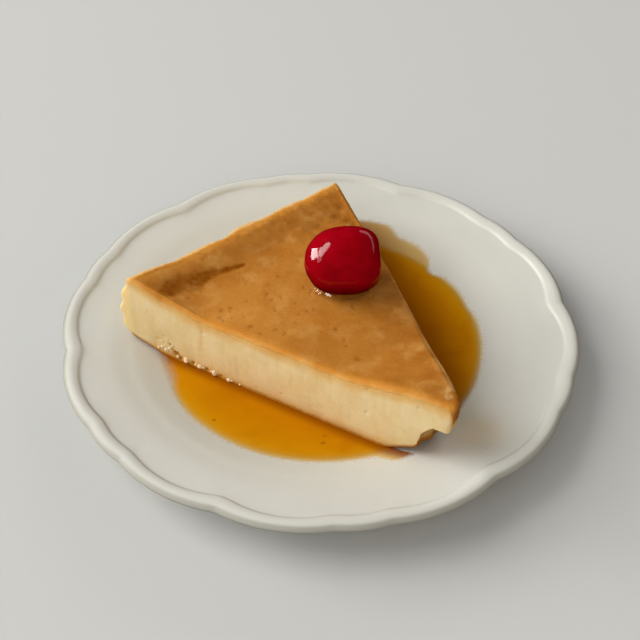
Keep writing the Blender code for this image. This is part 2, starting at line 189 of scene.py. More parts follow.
# Syrup that was wiped off the verge beside the tip; its warm tint is partly the syrup's stain and partly
# painted warm shade beside the tip
SMEAR_AND_SHADE_SHARE = 0.5
SMEAR_AND_SHADE_PLACE = (48.5, -44.0)
SMEAR_AND_SHADE_WIDTH = 8.5
BARE_FOOT_COLOUR = (0.42, 0.33, 0.24)
BARE_FOOT_ROUGHNESS = 0.87
BARE_FOOT_HEIGHTS = (0.3, 0.1)


def smoothstep(low, high, value):
    share = min(max((value - low) / (high - low), 0.0), 1.0)
    return share * share * (3.0 - 2.0 * share)


def bell(gap, width):
    """One at no gap, and falling smoothly to nothing beyond about twice the width."""
    return math.exp(-((gap / width) ** 2))


def smooth_curve(points, x):
    """Height of a smooth curve through (x, height) points, with no overshoot between them."""
    slopes = [(b[1] - a[1]) / (b[0] - a[0]) for a, b in zip(points, points[1:])]
    tangents = [slopes[0]]
    for before, after in zip(slopes, slopes[1:]):
        product = before * after
        tangents.append(2.0 * product / (before + after) if product > 0.0 else 0.0)
    tangents.append(slopes[-1])
    for index, (low, high) in enumerate(zip(points, points[1:])):
        if x <= high[0]:
            width = high[0] - low[0]
            t = (x - low[0]) / width
            value = (2 * t**3 - 3 * t**2 + 1) * low[1] + (3 * t**2 - 2 * t**3) * high[1]
            value += width * (t**3 - 2 * t**2 + t) * tangents[index]
            return value + width * (t**3 - t**2) * tangents[index + 1]
    return points[-1][1]


def plate_height(x, y):
    return smooth_curve(PLATE_TOP, math.hypot(x, y))


def curve_value(p, q, r, s, t):
    """Value at share t of the way from q to r, on a smooth curve that comes from p and goes on to s."""
    bend, twist = 2 * p - 5 * q + 4 * r - s, 3 * q - p - 3 * r + s
    return 0.5 * (2 * q + (r - p) * t + bend * t * t + twist * t**3)


def rounded_profile(points, steps):
    """Points of a smooth curve through the given ones, with that many steps to each stretch."""
    ends = [points[0], *points, points[-1]]
    curve = []
    for a, b, c, d in zip(ends, ends[1:], ends[2:], ends[3:]):
        for step in range(steps):
            curve.append(tuple(curve_value(*four, step / steps) for four in zip(a, b, c, d)))
    return curve + [points[-1]]


def rim_angles():
    """Directions of the rim's points, closer together near the notches, round the whole plate."""
    lobes = (
        (0.0, WIDE_LOBE, WIDE_LOBE_STEPS),
        (WIDE_LOBE, NARROW_LOBE, NARROW_LOBE_STEPS),
        (WIDE_LOBE + NARROW_LOBE, WIDE_LOBE, WIDE_LOBE_STEPS),
    )
    angles = []
    for turn in range(RIM_SIXTHS):
        for start, width, steps in lobes:
            for step in range(steps):
                share = 0.5 - 0.5 * math.cos(math.pi * step / steps)
                angles.append(turn * RIM_SIXTH + start + width * share)
    return angles


def rim_dip(angle):
    """How far the scalloped outline stands inside the plate's full radius, angle from a deep notch."""
    angle = angle % RIM_SIXTH
    angle = min(angle, RIM_SIXTH - angle)
    if angle < WIDE_LOBE:
        share = angle / WIDE_LOBE
        chord = DEEP_NOTCH + (SHALLOW_NOTCH - DEEP_NOTCH) * share
        mean = (DEEP_NOTCH + SHALLOW_NOTCH) / 2.0
        return max(chord - mean * math.sin(math.pi * share) ** LOBE_SHARPNESS, 0.0)
    arch = math.sin(math.pi * (angle - WIDE_LOBE) / NARROW_LOBE) ** LOBE_SHARPNESS
    return SHALLOW_NOTCH - (SHALLOW_NOTCH - NARROW_LOBE_DROP) * arch


def glazed_dip(angle, inset):
    """The scallop's dip, with its notches rounded off by the glaze, more so inside the bead."""
    spread = NOTCH_SPREAD + (NOTCH_SPREAD_INSIDE - NOTCH_SPREAD) * smoothstep(1.0, 5.0, inset)
    weights = [1.0 - NOTCH_FALLOFF * abs(shift) for shift in NOTCH_SHIFTS]
    dips = [weight * rim_dip(angle + shift * spread) for weight, shift in zip(weights, NOTCH_SHIFTS)]
    return sum(dips) / sum(weights)


def crease(angle, inset):
    """Depth of the shallow crease that runs in from each notch."""
    angle = angle % RIM_SIXTH
    nearest = min(abs(angle - notch) for notch in (0.0, WIDE_LOBE, WIDE_LOBE + NARROW_LOBE, RIM_SIXTH))
    fade = smoothstep(CREASE_START, CREASE_FULL, inset) * smoothstep(CREASE_END, CREASE_FULL, inset)
    return CREASE_DEPTH * fade * bell(nearest * (PLATE_RADIUS - inset), CREASE_WIDTH)


def piece_from_mesh(name, bm, *materials):
    """Turns a bmesh that was built in millimetres into a smooth piece that rides on the root body."""
    bmesh.ops.scale(bm, vec=(MM, MM, MM), verts=bm.verts)
    mesh = bpy.data.meshes.new(name)
    bm.to_mesh(mesh)
    bm.free()
    mesh.shade_smooth()
    for material in materials:
        mesh.materials.append(material)
    piece = add_object(name, mesh)
    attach(piece, "root")
    return piece


def join_rings(bm, rings):
    """Bands of faces between rings of vertices, listed from the lowest up and counter-clockwise."""
    for under, over in zip(rings, rings[1:]):
        for index in range(len(under)):
            after = (index + 1) % len(under)
            bm.faces.new((under[index], under[after], over[after], over[index]))


def fan(bm, ring, centre, upwards):
    """Closes a ring of vertices with triangles to one point."""
    middle = bm.verts.new(centre)
    for index in range(len(ring)):
        pair = (ring[index], ring[(index + 1) % len(ring)])
        bm.faces.new((middle, *(pair if upwards else pair[::-1])))


class Wiring:
    """A new material, and a short way to add nodes to it. Its place is the position in millimetres."""

    def __init__(self, name):
        self.material = bpy.data.materials.new(name)
        self.material.use_nodes = True
        self.tree = self.material.node_tree
        self.shader = self.tree.nodes["Principled BSDF"]
        where = self.node("ShaderNodeTexCoord").outputs["Object"]
        self.place = self.scaled(where, (1.0 / MM, 1.0 / MM, 1.0 / MM))

    def join(self, value, socket):
        if isinstance(value, bpy.types.NodeSocket):
            self.tree.links.new(value, socket)
        elif isinstance(value, tuple) and len(value) == 3 and socket.type == "RGBA":
            socket.default_value = (*value, 1.0)
        else:
            socket.default_value = value

    def node(self, kind, inputs=None, **settings):
        made = self.tree.nodes.new(kind)
        for key, value in settings.items():
            setattr(made, key, value)
        for key, value in (inputs or {}).items():
            self.join(value, made.inputs[key])
        return made

    def finish(self, **inputs):
        for key, value in inputs.items():
            self.join(value, self.shader.inputs[key.replace("_", " ").title().replace("Ior", "IOR")])
        return self.material

    def scaled(self, place, shares):
        return self.node("ShaderNodeVectorMath", {0: place, 1: shares}, operation="MULTIPLY").outputs[0]

    def math(self, operation, a, b=0.0, clamp=False):
        return self.node("ShaderNodeMath", {0: a, 1: b}, operation=operation, use_clamp=clamp).outputs[0]

    def noise(self, size, detail=3.0, roughness=0.55, distortion=0.0, place=None):
        """Soft noise about 0.5, with features of that size in millimetres."""
        inputs = {"Vector": place or self.place, "Scale": 1.0 / size, "Detail": detail}
        inputs |= {"Roughness": roughness, "Distortion": distortion}
        return self.node("ShaderNodeTexNoise", inputs).outputs[0]

    def ramp(self, value, low, high, to_low=0.0, to_high=1.0):
        """Value taken smoothly from between low and high to between to_low and to_high."""
        inputs = {"Value": value, "From Min": low, "From Max": high, "To Min": to_low, "To Max": to_high}
        return self.node("ShaderNodeMapRange", inputs, interpolation_type="SMOOTHSTEP").outputs[0]

    def mix(self, share, first, second):
        return self.node("ShaderNodeMix", {0: share, 6: first, 7: second}, data_type="RGBA").outputs[2]

    def attribute(self, name):
        return self.node("ShaderNodeAttribute", attribute_name=name).outputs["Fac"]

    def mottle(self, noise, low, high, first, second):
        """One colour where the noise is under low, another where it is over high."""
        return self.mix(self.ramp(noise, low, high), first, second)

    def bump(self, height, distance):
        inputs = {"Height": height, "Distance": distance * MM, "Strength": 1.0}
        return self.node("ShaderNodeBump", inputs).outputs["Normal"]


def glaze_material():
    wiring = Wiring("glaze")
    cloudy = tuple(channel * 0.985 for channel in GLAZE_COLOUR)
    colour = wiring.mottle(wiring.noise(22.0), 0.35, 0.7, GLAZE_COLOUR, cloudy)
    # The thin attribute darkens the rim's outer flank: partly thin glaze, mostly painted shade
    colour = wiring.mix(wiring.attribute("thin"), colour, GLAZE_THIN_AND_SHADE_COLOUR)
    # Wiped syrup beside the tip: partly a syrup stain, partly painted warm shade
    streaks = wiring.ramp(wiring.noise(7.0), 0.3, 0.7, 0.7, 1.0)
    smear = wiring.math("MULTIPLY", wiring.attribute("smear"), streaks)
    colour = wiring.mix(smear, colour, GLAZE_SMEAR_AND_SHADE_COLOUR)
    bare = wiring.attribute("bare")
    rougher = wiring.math("MULTIPLY", bare, BARE_FOOT_ROUGHNESS - GLAZE_ROUGHNESS)
    return wiring.finish(
        base_color=wiring.mix(bare, colour, BARE_FOOT_COLOUR),
        roughness=wiring.math("ADD", rougher, GLAZE_ROUGHNESS),
        normal=wiring.bump(wiring.noise(2.6, detail=1.0), 0.05),
    )


def points_of(piece):
    """A piece's vertices in millimetres."""
    return [vert.co / MM for vert in piece.data.vertices]


def mark(piece, **marks):
    """Writes point attributes for the material, each from its list of values or its function of x, y."""
    for name, values in marks.items():
        if callable(values):
            values = [values(p.x, p.y) for p in points_of(piece)]
        piece.data.attributes.new(name, "FLOAT", "POINT").data.foreach_set("value", values)


profile = [(PLATE_RADIUS - radius, height, 0.0) for radius, height in reversed(PLATE_UNDER)]
profile += list(reversed(RIM_BEAD))
profile += [(PLATE_RADIUS - radius, plate_height(radius, 0.0), 0.0) for radius in PLATE_OVER]
bm = bmesh.new()
rings = []
angles = rim_angles()
over_top = False
previous = 0.0
for inset, height, show in rounded_profile(profile, BEAD_STEPS):
    over_top = over_top or CREASE_FLOOR < height < previous
    previous = height
    ring = []
    for angle in angles:
        radius = PLATE_RADIUS - inset - glazed_dip(angle, inset) * show
        drop = crease(angle, inset) if over_top and height > CREASE_FLOOR else 0.0
        turn = RIM_NOTCH_ANGLE + angle
        ring.append(bm.verts.new((radius * math.cos(turn), radius * math.sin(turn), height - drop)))
    rings.append(ring)
join_rings(bm, rings)
fan(bm, rings[0], (0.0, 0.0, PLATE_UNDER[-1][1]), False)
fan(bm, rings[-1], (0.0, 0.0, PLATE_FLOOR), True)
plate = piece_from_mesh("plate_glazed", bm, glaze_material())
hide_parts("plate")
# Darkening of the rim's outer flank: partly thin glaze, mostly painted shade
thin_and_shade = []
for point in points_of(plate):
    inset = PLATE_RADIUS - math.hypot(point.x, point.y)
    thin_and_shade.append(THIN_AND_SHADE_SHARE * smoothstep(*THIN_AND_SHADE_INSETS, inset) * smoothstep(*THIN_AND_SHADE_HEIGHTS, point.z))
mark(
    plate,
    bare=[smoothstep(*BARE_FOOT_HEIGHTS, point.z) for point in points_of(plate)],
    thin=thin_and_shade,
    smear=lambda x, y: SMEAR_AND_SHADE_SHARE * bell(math.dist((x, y), SMEAR_AND_SHADE_PLACE), SMEAR_AND_SHADE_WIDTH),
)


# Custard. The slice of set egg custard, cut with a knife on two sides and slumped on the third,
# which stood against the mould's wall. Its foot carries a thin brown skin with froth and small holes
# at the left, and a piece is broken away under the tip.
GAP = 0.3
CORNER_LEFT = (-61.5, -2.5)
CORNER_TIP_FRONT = (39.0, -58.2)
CORNER_TIP_BACK = (41.0, -55.0)
CORNER_FAR = (5.3, 53.9)
CORNERS = (CORNER_LEFT, CORNER_TIP_FRONT, CORNER_TIP_BACK, CORNER_FAR)
CORNER_ROUNDING = 1.6
CORNER_SHARE = 0.2
CORNER_STEPS = 5
FRONT_SIDE, TIP_SIDE, BACK_SIDE, OUTER_SIDE = range(4)
SIDE_STEPS = (250, 8, 180, 170)
WALL_STEPS = 52
BACK_BOW = 2.3
OUTER_WAVE = 0.45
WAVE_TURNS = 4.5
SLICE_TOP = 31.3
VERGE_LIFT = 3.9
VERGE_LIFT_TIP = 0.8
VERGE_LIFT_FAR = 2.0
VERGE_START = 38.0
VERGE_END = 64.0
SETTLE_DEPTH = 0.7
SETTLE_PLACE = (-37.0, -15.0)
SETTLE_WIDTH = 9.5
RIPPLE = 0.25
CARAMEL_DEPTH = 1.5
TOP_EDGE_ROUNDING = 1.25
FOOT_ROUNDING = 0.5
OUTER_BULGE = 3.7
OUTER_SAG = 0.75
OUTER_FULLNESS = 0.65
OUTER_RIDGE = 0.42
OUTER_RIDGE_PITCH = 0.28
OUTER_RIDGE_START = 0.17
OUTER_LIP = 2.2
OUTER_LIP_WIDTH = 13.0
CUT_BULGE = 0.45
TIP_SLANT = 3.2
TIP_LIFT = 3.1
TIP_LIFT_START = 49.0
TIP_LIFT_END = 61.0
FOOT_SHARE = 0.03
SEAM_SHARE = 0.94
CAP_RINGS = (0.965, 0.86, 0.7, 0.5, 0.28)
BREAK_START = (28.0, -52.3)
BREAK_END = (37.4, -44.4)
BREAK_FOOT = 13.0
BREAK_CEILING = 25.7
BREAK_RUN = 5.5
BREAK_STEEPNESS = 0.75
BREAK_STEPS = 26
BREAK_REACH = 30.0
BREAK_SLICES = 80
BREAK_RAGGED = 0.5
CUSTARD_COLOUR = (0.775, 0.57, 0.27)
CUSTARD_PALE_COLOUR = (0.84, 0.655, 0.355)
CUSTARD_WALL_COLOUR = (0.88, 0.655, 0.285)
CUSTARD_STAIN_COLOUR = (0.74, 0.41, 0.115)
CUSTARD_FRINGE_COLOUR = (0.82, 0.56, 0.24)
CARAMEL_COLOUR = (0.49, 0.182, 0.023)
CARAMEL_DARK_COLOUR = (0.25, 0.068, 0.001)
CARAMEL_BRIGHT_COLOUR = (0.55, 0.222, 0.034)
CARAMEL_RIM_AND_EDGE_LIGHT_COLOUR = (0.72, 0.3, 0.04)
FOOT_SKIN_COLOUR = (0.44, 0.16, 0.012)
SOAKED_COLOUR = (0.6, 0.28, 0.035)
BROKEN_COLOUR = (0.58, 0.31, 0.09)
SAUCE_LEVEL = 8.2
SAUCE_EDGE = 54.2
# Holes of the froth at the foot, and pits in the front face: place, radius, depth
FOOT_HOLES = (
    (-46.6, -10.9, 11.2, 1.3, 0.8), (-45.2, -11.7, 10.1, 1.0, 0.6), (-41.0, -14.1, 10.2, 0.8, 0.5),
    (-36.3, -16.6, 9.9, 0.8, 0.5), (-31.6, -19.2, 9.6, 0.7, 0.4), (-48.4, -9.8, 14.6, 0.6, 0.3),
    (-47.6, -10.3, 12.8, 0.5, 0.3),
)
FACE_PITS = (
    (-50.2, -8.9, 17.2, 0.6, 0.35), (-52.4, -7.6, 14.9, 0.6, 0.35), (-36.8, -16.3, 25.7, 0.6, 0.3),
    (14.2, -44.5, 30.5, 0.6, 0.3), (29.1, -52.8, 31.4, 0.6, 0.3),
)
TIP_DROP = ((40.9, -50.5), (41.6, -54.0), (41.0, -56.6))
DRIP_LENGTH = 6.0
DRIP_STAIN = 0.35
# Torn custard near the foot is browned as if it lay lower by this share
TORN_RISE = 0.55
FACE_CREASE = ((-37.3, -16.0, 29.5), (-36.9, -16.2, 24.7), (-37.6, -15.9, 18.0))
FACE_CREASE_DEPTH = 0.12
FACE_CREASE_WIDTH = 0.6
RANDOM_PITS = 150
# Brown of the syrup above its level: how much of it, where it starts, where it is full
SOAK_BANDS = ((0.1, 12.0, 4.0), (0.35, 5.0, 2.0), (0.55, 2.6, 0.8))


def outward(here, there):
    """Direction square to the line between two corners, out of the slice."""
    length = math.dist(here, there)
    return (there[1] - here[1]) / length, (here[0] - there[0]) / length


SIDE_NORMALS = [outward(here, there) for here, there in zip(CORNERS, CORNERS[1:] + CORNERS[:1])]


def inside(side, x, y):
    """Distance inwards from the straight line of one of the slice's sides."""
    corner, normal = CORNERS[side], SIDE_NORMALS[side]
    return (corner[0] - x) * normal[0] + (corner[1] - y) * normal[1]


def unevenness(x, y, z, size, octaves=2):
    """Soft random relief between about -1 and 1, with features of that size."""
    return noise.fractal(Vector((x, y, z)) / size, 1.0, 2.0, octaves)


def slice_top(x, y):
    """Top of the slice: sagging over the plate's floor, lifted on the verge and along the lip."""
    radius = math.hypot(x, y)
    towards_tip = smoothstep(-10.0, 22.0, x) * smoothstep(10.0, -20.0, y)
    towards_far = smoothstep(20.0, 50.0, y)
    verge = VERGE_LIFT + VERGE_LIFT_TIP * towards_tip - VERGE_LIFT_FAR * towards_far
    verge *= smoothstep(VERGE_START - 5.0 * towards_tip, VERGE_END - 2.0 * towards_tip, radius)
    lip = (OUTER_LIP - 0.8 * towards_far) * smoothstep(OUTER_LIP_WIDTH, 0.0, inside(OUTER_SIDE, x, y))
    settle = SETTLE_DEPTH * bell(math.dist((x, y), SETTLE_PLACE), SETTLE_WIDTH)
    ripple = RIPPLE * math.sin(x / 11.0 + 0.6) * math.cos(y / 13.0)
    return SLICE_TOP + math.hypot(verge, lip) - settle + ripple


def slice_bottom(x, y):
    """Underside of the slice: it follows the plate, and its stiff tip stands off the verge."""
    towards_tip = smoothstep(0.0, 20.0, x) * smoothstep(-20.0, -40.0, y)
    lift = TIP_LIFT * towards_tip * smoothstep(TIP_LIFT_START, TIP_LIFT_END, math.hypot(x, y))
    return plate_height(x, y) + GAP + lift


def line_meeting(point_a, normal_a, point_b, normal_b):
    """Where the lines through two points, square to their normals, meet."""
    reach_a = point_a[0] * normal_a[0] + point_a[1] * normal_a[1]
    reach_b = point_b[0] * normal_b[0] + point_b[1] * normal_b[1]
    cross = normal_a[0] * normal_b[1] - normal_a[1] * normal_b[0]
    x = (reach_a * normal_b[1] - reach_b * normal_a[1]) / cross
    y = (normal_a[0] * reach_b - normal_b[0] * reach_a) / cross
    return x, y


def cut_move(share):
    return CUT_BULGE * math.sin(math.pi * share)


def outer_move(share):
    """How far the moulded outer side stands out: it slumps and is ridged all along."""
    turn = 2.0 * math.pi * (share - OUTER_RIDGE_START) / OUTER_RIDGE_PITCH
    ridge = OUTER_RIDGE * math.cos(turn) * smoothstep(0.0, 0.12, 1.0 - share)
    return OUTER_BULGE * max(math.sin(math.pi * share**OUTER_SAG), 0.0) ** OUTER_FULLNESS + ridge


def tip_move(share):
    return cut_move(share) - TIP_SLANT * (1.0 - share)


def side_swell(side, along):
    """How far a side bows or waves out of its straight line, at a share of its length."""
    arch = max(math.sin(math.pi * along), 0.0)
    if side == BACK_SIDE:
        return BACK_BOW * arch**0.7
    if side == OUTER_SIDE:
        return OUTER_WAVE * arch * math.sin(WAVE_TURNS * 2.0 * math.pi * along + 1.0)
    return 0.0


def corner_trim(here, there):
    length = math.dist(here, there)
    return min(CORNER_ROUNDING, length * CORNER_SHARE) / length


def between(here, there, share):
    return here[0] + (there[0] - here[0]) * share, here[1] + (there[1] - here[1]) * share


def slice_outline(share, inset=0.0):
    """Rounded outline of the slice at a share of its height, moved in all round by the inset."""
    moves = (cut_move(share), tip_move(share), cut_move(share), outer_move(share))
    on_side = [
        (corner[0] + normal[0] * (move - inset), corner[1] + normal[1] * (move - inset))
        for corner, normal, move in zip(CORNERS, SIDE_NORMALS, moves)
    ]
    meetings = [
        line_meeting(on_side[side - 1], SIDE_NORMALS[side - 1], on_side[side], SIDE_NORMALS[side])
        for side in range(4)
    ]
    outline = []
    for side, steps in enumerate(SIDE_STEPS):
        here, there, beyond = meetings[side], meetings[(side + 1) % 4], meetings[(side + 2) % 4]
        trim = corner_trim(here, there)
        for step in range(steps + 1):
            x, y = between(here, there, trim + (1.0 - 2.0 * trim) * step / steps)
            swell = side_swell(side, step / steps)
            outline.append((x + SIDE_NORMALS[side][0] * swell, y + SIDE_NORMALS[side][1] * swell))
        last, first = outline[-1], between(there, beyond, corner_trim(there, beyond))
        for step in range(1, CORNER_STEPS):
            turn = step / CORNER_STEPS
            outline.append(between(between(last, there, turn), between(there, first, turn), turn))
    return outline


def wall_normals(outline):
    """Outward direction at each point of an outline."""
    ahead = outline[2:] + outline[:2]
    behind = outline[-2:] + outline[:-2]
    return np.array([(*outward(before, after), 0.0) for before, after in zip(behind, ahead)])


def face_pits():
    """Cut-open air bubbles all round the walls: place, radius and depth."""
    draw = random.Random(11)
    pits = list(FOOT_HOLES + FACE_PITS)
    middle = slice_outline(0.5)
    for _ in range(RANDOM_PITS):
        x, y = middle[draw.randrange(len(middle))]
        radius = 0.22 + 0.4 * draw.random() ** 4
        height = 9.0 + 21.0 * draw.random() ** 2.2
        pits.append((x, y, height, radius, radius * draw.uniform(0.3, 0.8)))
    return pits


FOOT_OUTLINE = slice_outline(0.0)
WALL_NORMALS = wall_normals(FOOT_OUTLINE)
OUTERNESS = np.clip(WALL_NORMALS @ np.array((*SIDE_NORMALS[OUTER_SIDE], 0.0)), 0.0, 1.0) ** 4
PITS = face_pits()


def distance_to_path(path, point):
    """Distance from a point to a path, and how far along the path its nearest place is, as a share."""
    nearest, place = 1e9, 0.0
    for index, (here, there) in enumerate(zip(path, path[1:])):
        near, share = geometry.intersect_point_line(Vector(point), Vector(here), Vector(there))
        share = min(max(share, 0.0), 1.0)
        gap = (Vector(point) - Vector(here).lerp(Vector(there), share)).length
        if gap < nearest:
            nearest, place = gap, (index + share) / (len(path) - 1)
    return nearest, place


def wall_ring(outline, heights):
    """One ring of wall points, moved in or out by the fine relief of the cut or moulded custard."""
    spots = np.array([(x, y, z) for (x, y), z in zip(outline, heights)])
    move = np.zeros(len(spots))
    for index, (x, y, z) in enumerate(spots):
        fine = unevenness(x, y, z, 1.9, 3)
        drag = noise.noise(Vector((x / 1.6, y / 1.6, z / 30.0)))
        crags = unevenness(x, y, z * 2.0, 4.0, 3)
        move[index] = 0.16 * unevenness(x, y, z, 10.0) + 0.04 * fine + 0.05 * drag
        move[index] += OUTERNESS[index] * (0.45 * crags + 0.12 * fine)
    for x, y, z, radius, depth in PITS:
        reach = np.linalg.norm(spots - (x, y, z), axis=1) / radius
        pitted = reach < 1.0
        move[pitted] -= depth * np.sqrt(1.0 - reach[pitted] ** 2)
    for index in np.flatnonzero(np.linalg.norm(spots[:, :2] - FACE_CREASE[1][:2], axis=1) < 3.0):
        gap = distance_to_path(FACE_CREASE, spots[index])[0]
        move[index] -= FACE_CREASE_DEPTH * bell(gap, FACE_CREASE_WIDTH)
    return spots + WALL_NORMALS * move[:, None]


def level_heights(share):
    heights = []
    for x, y in FOOT_OUTLINE:
        low, high = slice_bottom(x, y), slice_top(x, y)
        heights.append(low + (high - low) * share)
    return heights


def edge_heights(drop):
    return [slice_top(x, y) - drop for x, y in FOOT_OUTLINE]


def break_height(out):
    share = min(max(out / BREAK_RUN, 0.0), 1.0)
    return BREAK_FOOT + (BREAK_CEILING - BREAK_FOOT) * share**BREAK_STEEPNESS


def build_break_cutter():
    """Ragged wedge that takes the broken piece out from under the tip."""
    beyond = outward(BREAK_START, BREAK_END)
    along = (-beyond[1], beyond[0])
    profile = [(-BREAK_RAGGED, 0.0)]
    profile += [(-BREAK_RAGGED / 2.0, 8.0 + (BREAK_FOOT - 8.5) * step / 5.0) for step in range(6)]
    outs = [BREAK_RUN * step / BREAK_STEPS for step in range(BREAK_STEPS + 1)]
    profile += [(out, break_height(out)) for out in outs]
    profile += [(BREAK_RUN + 1.0 + step, BREAK_CEILING) for step in range(8)]
    profile += [(BREAK_REACH, BREAK_CEILING), (BREAK_REACH, 0.0)]
    cut = bmesh.new()
    rows = []
    for index in range(BREAK_SLICES + 1):
        place = BREAK_REACH * (index / BREAK_SLICES - 0.25)
        row = []
        for out, height in profile:
            crumb = 0.0
            if out < BREAK_REACH:
                out += BREAK_RAGGED * math.sin(place * 1.1 + height * 0.45)
                crumb = unevenness(place, out, height, 1.5, 3)
            x = BREAK_START[0] + along[0] * place + beyond[0] * (out + 0.4 * crumb)
            y = BREAK_START[1] + along[1] * place + beyond[1] * (out + 0.4 * crumb)
            row.append(cut.verts.new((x * MM, y * MM, (height + 0.35 * crumb) * MM)))
        rows.append(row)
    join_rings(cut, rows)
    cut.faces.new(rows[0])
    cut.faces.new(rows[-1][::-1])
    bmesh.ops.triangulate(cut, faces=cut.faces[:])
    bmesh.ops.recalc_face_normals(cut, faces=cut.faces[:])
    mesh = bpy.data.meshes.new("break_cutter")
    cut.to_mesh(mesh)
    cut.free()
    cutter = add_object("break_cutter", mesh)
    return cutter


def soaked_share(x, y, z):
    """How brown the syrup has made the custard just above its level, and in the froth's holes."""
    wetted = smoothstep(SAUCE_EDGE + 6.0, SAUCE_EDGE + 1.0, math.hypot(x, y))
    bands = [part * smoothstep(start, full, z - SAUCE_LEVEL) for part, start, full in SOAK_BANDS]
    share = wetted * sum(bands)
    for *hole, radius, _ in FOOT_HOLES:
        share = max(share, smoothstep(1.7, 0.6, math.dist((x, y, z), hole) / radius))
    return max(share, 0.14 * bell(distance_to_path(FACE_CREASE, (x, y, z))[0], 0.8))


def outer_share(x, y):
    """How much a place belongs to the skin that stood against the mould's wall."""
    return smoothstep(1.5, -0.5, inside(OUTER_SIDE, x, y))


def drip_share(x, y):
    """Where the syrup has run over the tip: the caramel's colour reaches down the tip's end there."""
    return smoothstep(3.9, 1.9, distance_to_path(TIP_DROP, (x, y))[0])


def flan_material(name):
    """Custard that turns to caramel at the top, by the depth below the top that its points carry."""
    wiring = Wiring(name)
    depth = wiring.attribute("depth")
    mottle = wiring.noise(8.0, detail=4.0, roughness=0.6)
    grain = wiring.noise(1.1, detail=3.0)
    custard = wiring.mottle(mottle, 0.3, 0.75, CUSTARD_COLOUR, CUSTARD_PALE_COLOUR)
    custard = wiring.mix(wiring.attribute("outer"), custard, CUSTARD_WALL_COLOUR)
    strokes = wiring.noise(3.0, detail=3.0, place=wiring.scaled(wiring.place, (1.0, 1.0, 0.12)))
    custard = wiring.mix(wiring.ramp(strokes, 0.45, 0.75, 0.0, 0.12), custard, CUSTARD_STAIN_COLOUR)
    patches = wiring.noise(13.0, detail=5.0, roughness=0.62, distortion=0.6)
    caramel = wiring.mottle(patches, 0.36, 0.62, CARAMEL_COLOUR, CARAMEL_BRIGHT_COLOUR)
    blotches = wiring.ramp(wiring.noise(5.0, detail=4.0, roughness=0.6), 0.3, 0.7, 0.75, 1.25)
    # Stains of the caramel, with painted shade towards the back and the tip of the top
    stain = wiring.math("MULTIPLY", wiring.attribute("stain"), blotches, clamp=True)
    caramel = wiring.mix(stain, caramel, CARAMEL_DARK_COLOUR)
    # Orange of the thin caramel along the outer side, and painted light along the front edge
    caramel = wiring.mix(wiring.attribute("rim"), caramel, CARAMEL_RIM_AND_EDGE_LIGHT_COLOUR)
    caramel = wiring.mix(wiring.attribute("pale"), caramel, CUSTARD_FRINGE_COLOUR)
    soak = wiring.math("ADD", depth, wiring.ramp(mottle, 0.2, 0.8, -0.8, 0.8))
    colour = wiring.mottle(soak, 1.0, 6.0, CUSTARD_STAIN_COLOUR, custard)
    colour = wiring.mottle(soak, -0.2, 2.0, caramel, colour)
    rise = wiring.math("ADD", wiring.attribute("rise"), wiring.ramp(grain, 0.3, 0.7, -0.1, 0.1))
    colour = wiring.mix(wiring.attribute("broken"), colour, BROKEN_COLOUR)
    grainy = wiring.ramp(grain, 0.2, 0.7, 1.1, 0.9)
    soaked = wiring.math("MULTIPLY", wiring.attribute("soaked"), grainy, clamp=True)
    colour = wiring.mix(soaked, colour, SOAKED_COLOUR)
    colour = wiring.mix(wiring.ramp(soaked, 0.75, 1.0, 0.0, 0.8), colour, FOOT_SKIN_COLOUR)
    colour = wiring.mottle(rise, 0.3, 2.2, FOOT_SKIN_COLOUR, colour)
    roughness = wiring.ramp(depth, 0.0, 0.3, 0.27, 0.5)
    return wiring.finish(
        base_color=colour,
        roughness=wiring.math("ADD", roughness, wiring.ramp(grain, 0.3, 0.7, -0.05, 0.07)),
        normal=wiring.bump(grain, 0.04),
        subsurface_weight=0.25,
        subsurface_scale=0.0018,
        specular_ior_level=0.25,
        subsurface_radius=(1.0, 0.6, 0.25),
    )


def add_vertices(bm, points):
    return [bm.verts.new(point) for point in points]


def cap(bm, outline, ring, height, upwards):
    """Closes a ring with rings that shrink to the middle, on the surface that height gives."""
    centre = tuple(sum(places) / len(outline) for places in zip(*outline))
    rings = [ring]
    for share in CAP_RINGS:
        shrunk = [between(centre, place, share) for place in outline]
        rings.append(add_vertices(bm, [(x, y, height(x, y)) for x, y in shrunk]))
    join_rings(bm, rings if upwards else rings[::-1])
    fan(bm, rings[-1], (*centre, height(*centre)), upwards)


def seam_surface(x, y):
    return slice_top(x, y) - CARAMEL_DEPTH


def sharpen(piece, chosen):
    """Keeps the edges between the chosen points sharp, so that a hidden face doesn't shade the next."""
    for edge in piece.data.edges:
        edge.use_edge_sharp = edge.vertices[0] in chosen and edge.vertices[1] in chosen


bm = bmesh.new()
foot = slice_outline(0.0, FOOT_ROUNDING)
seam = slice_outline(SEAM_SHARE)
foot_ring = add_vertices(bm, [(x, y, slice_bottom(x, y)) for x, y in foot])
rings = [foot_ring]
for step in range(WALL_STEPS):
    share = FOOT_SHARE + (SEAM_SHARE - FOOT_SHARE) * step / WALL_STEPS
    rings.append(add_vertices(bm, wall_ring(slice_outline(share), level_heights(share))))
rings.append(add_vertices(bm, wall_ring(seam, edge_heights(CARAMEL_DEPTH))))
join_rings(bm, rings)
cap(bm, foot, foot_ring, slice_bottom, False)
cap(bm, seam, rings[-1], seam_surface, True)
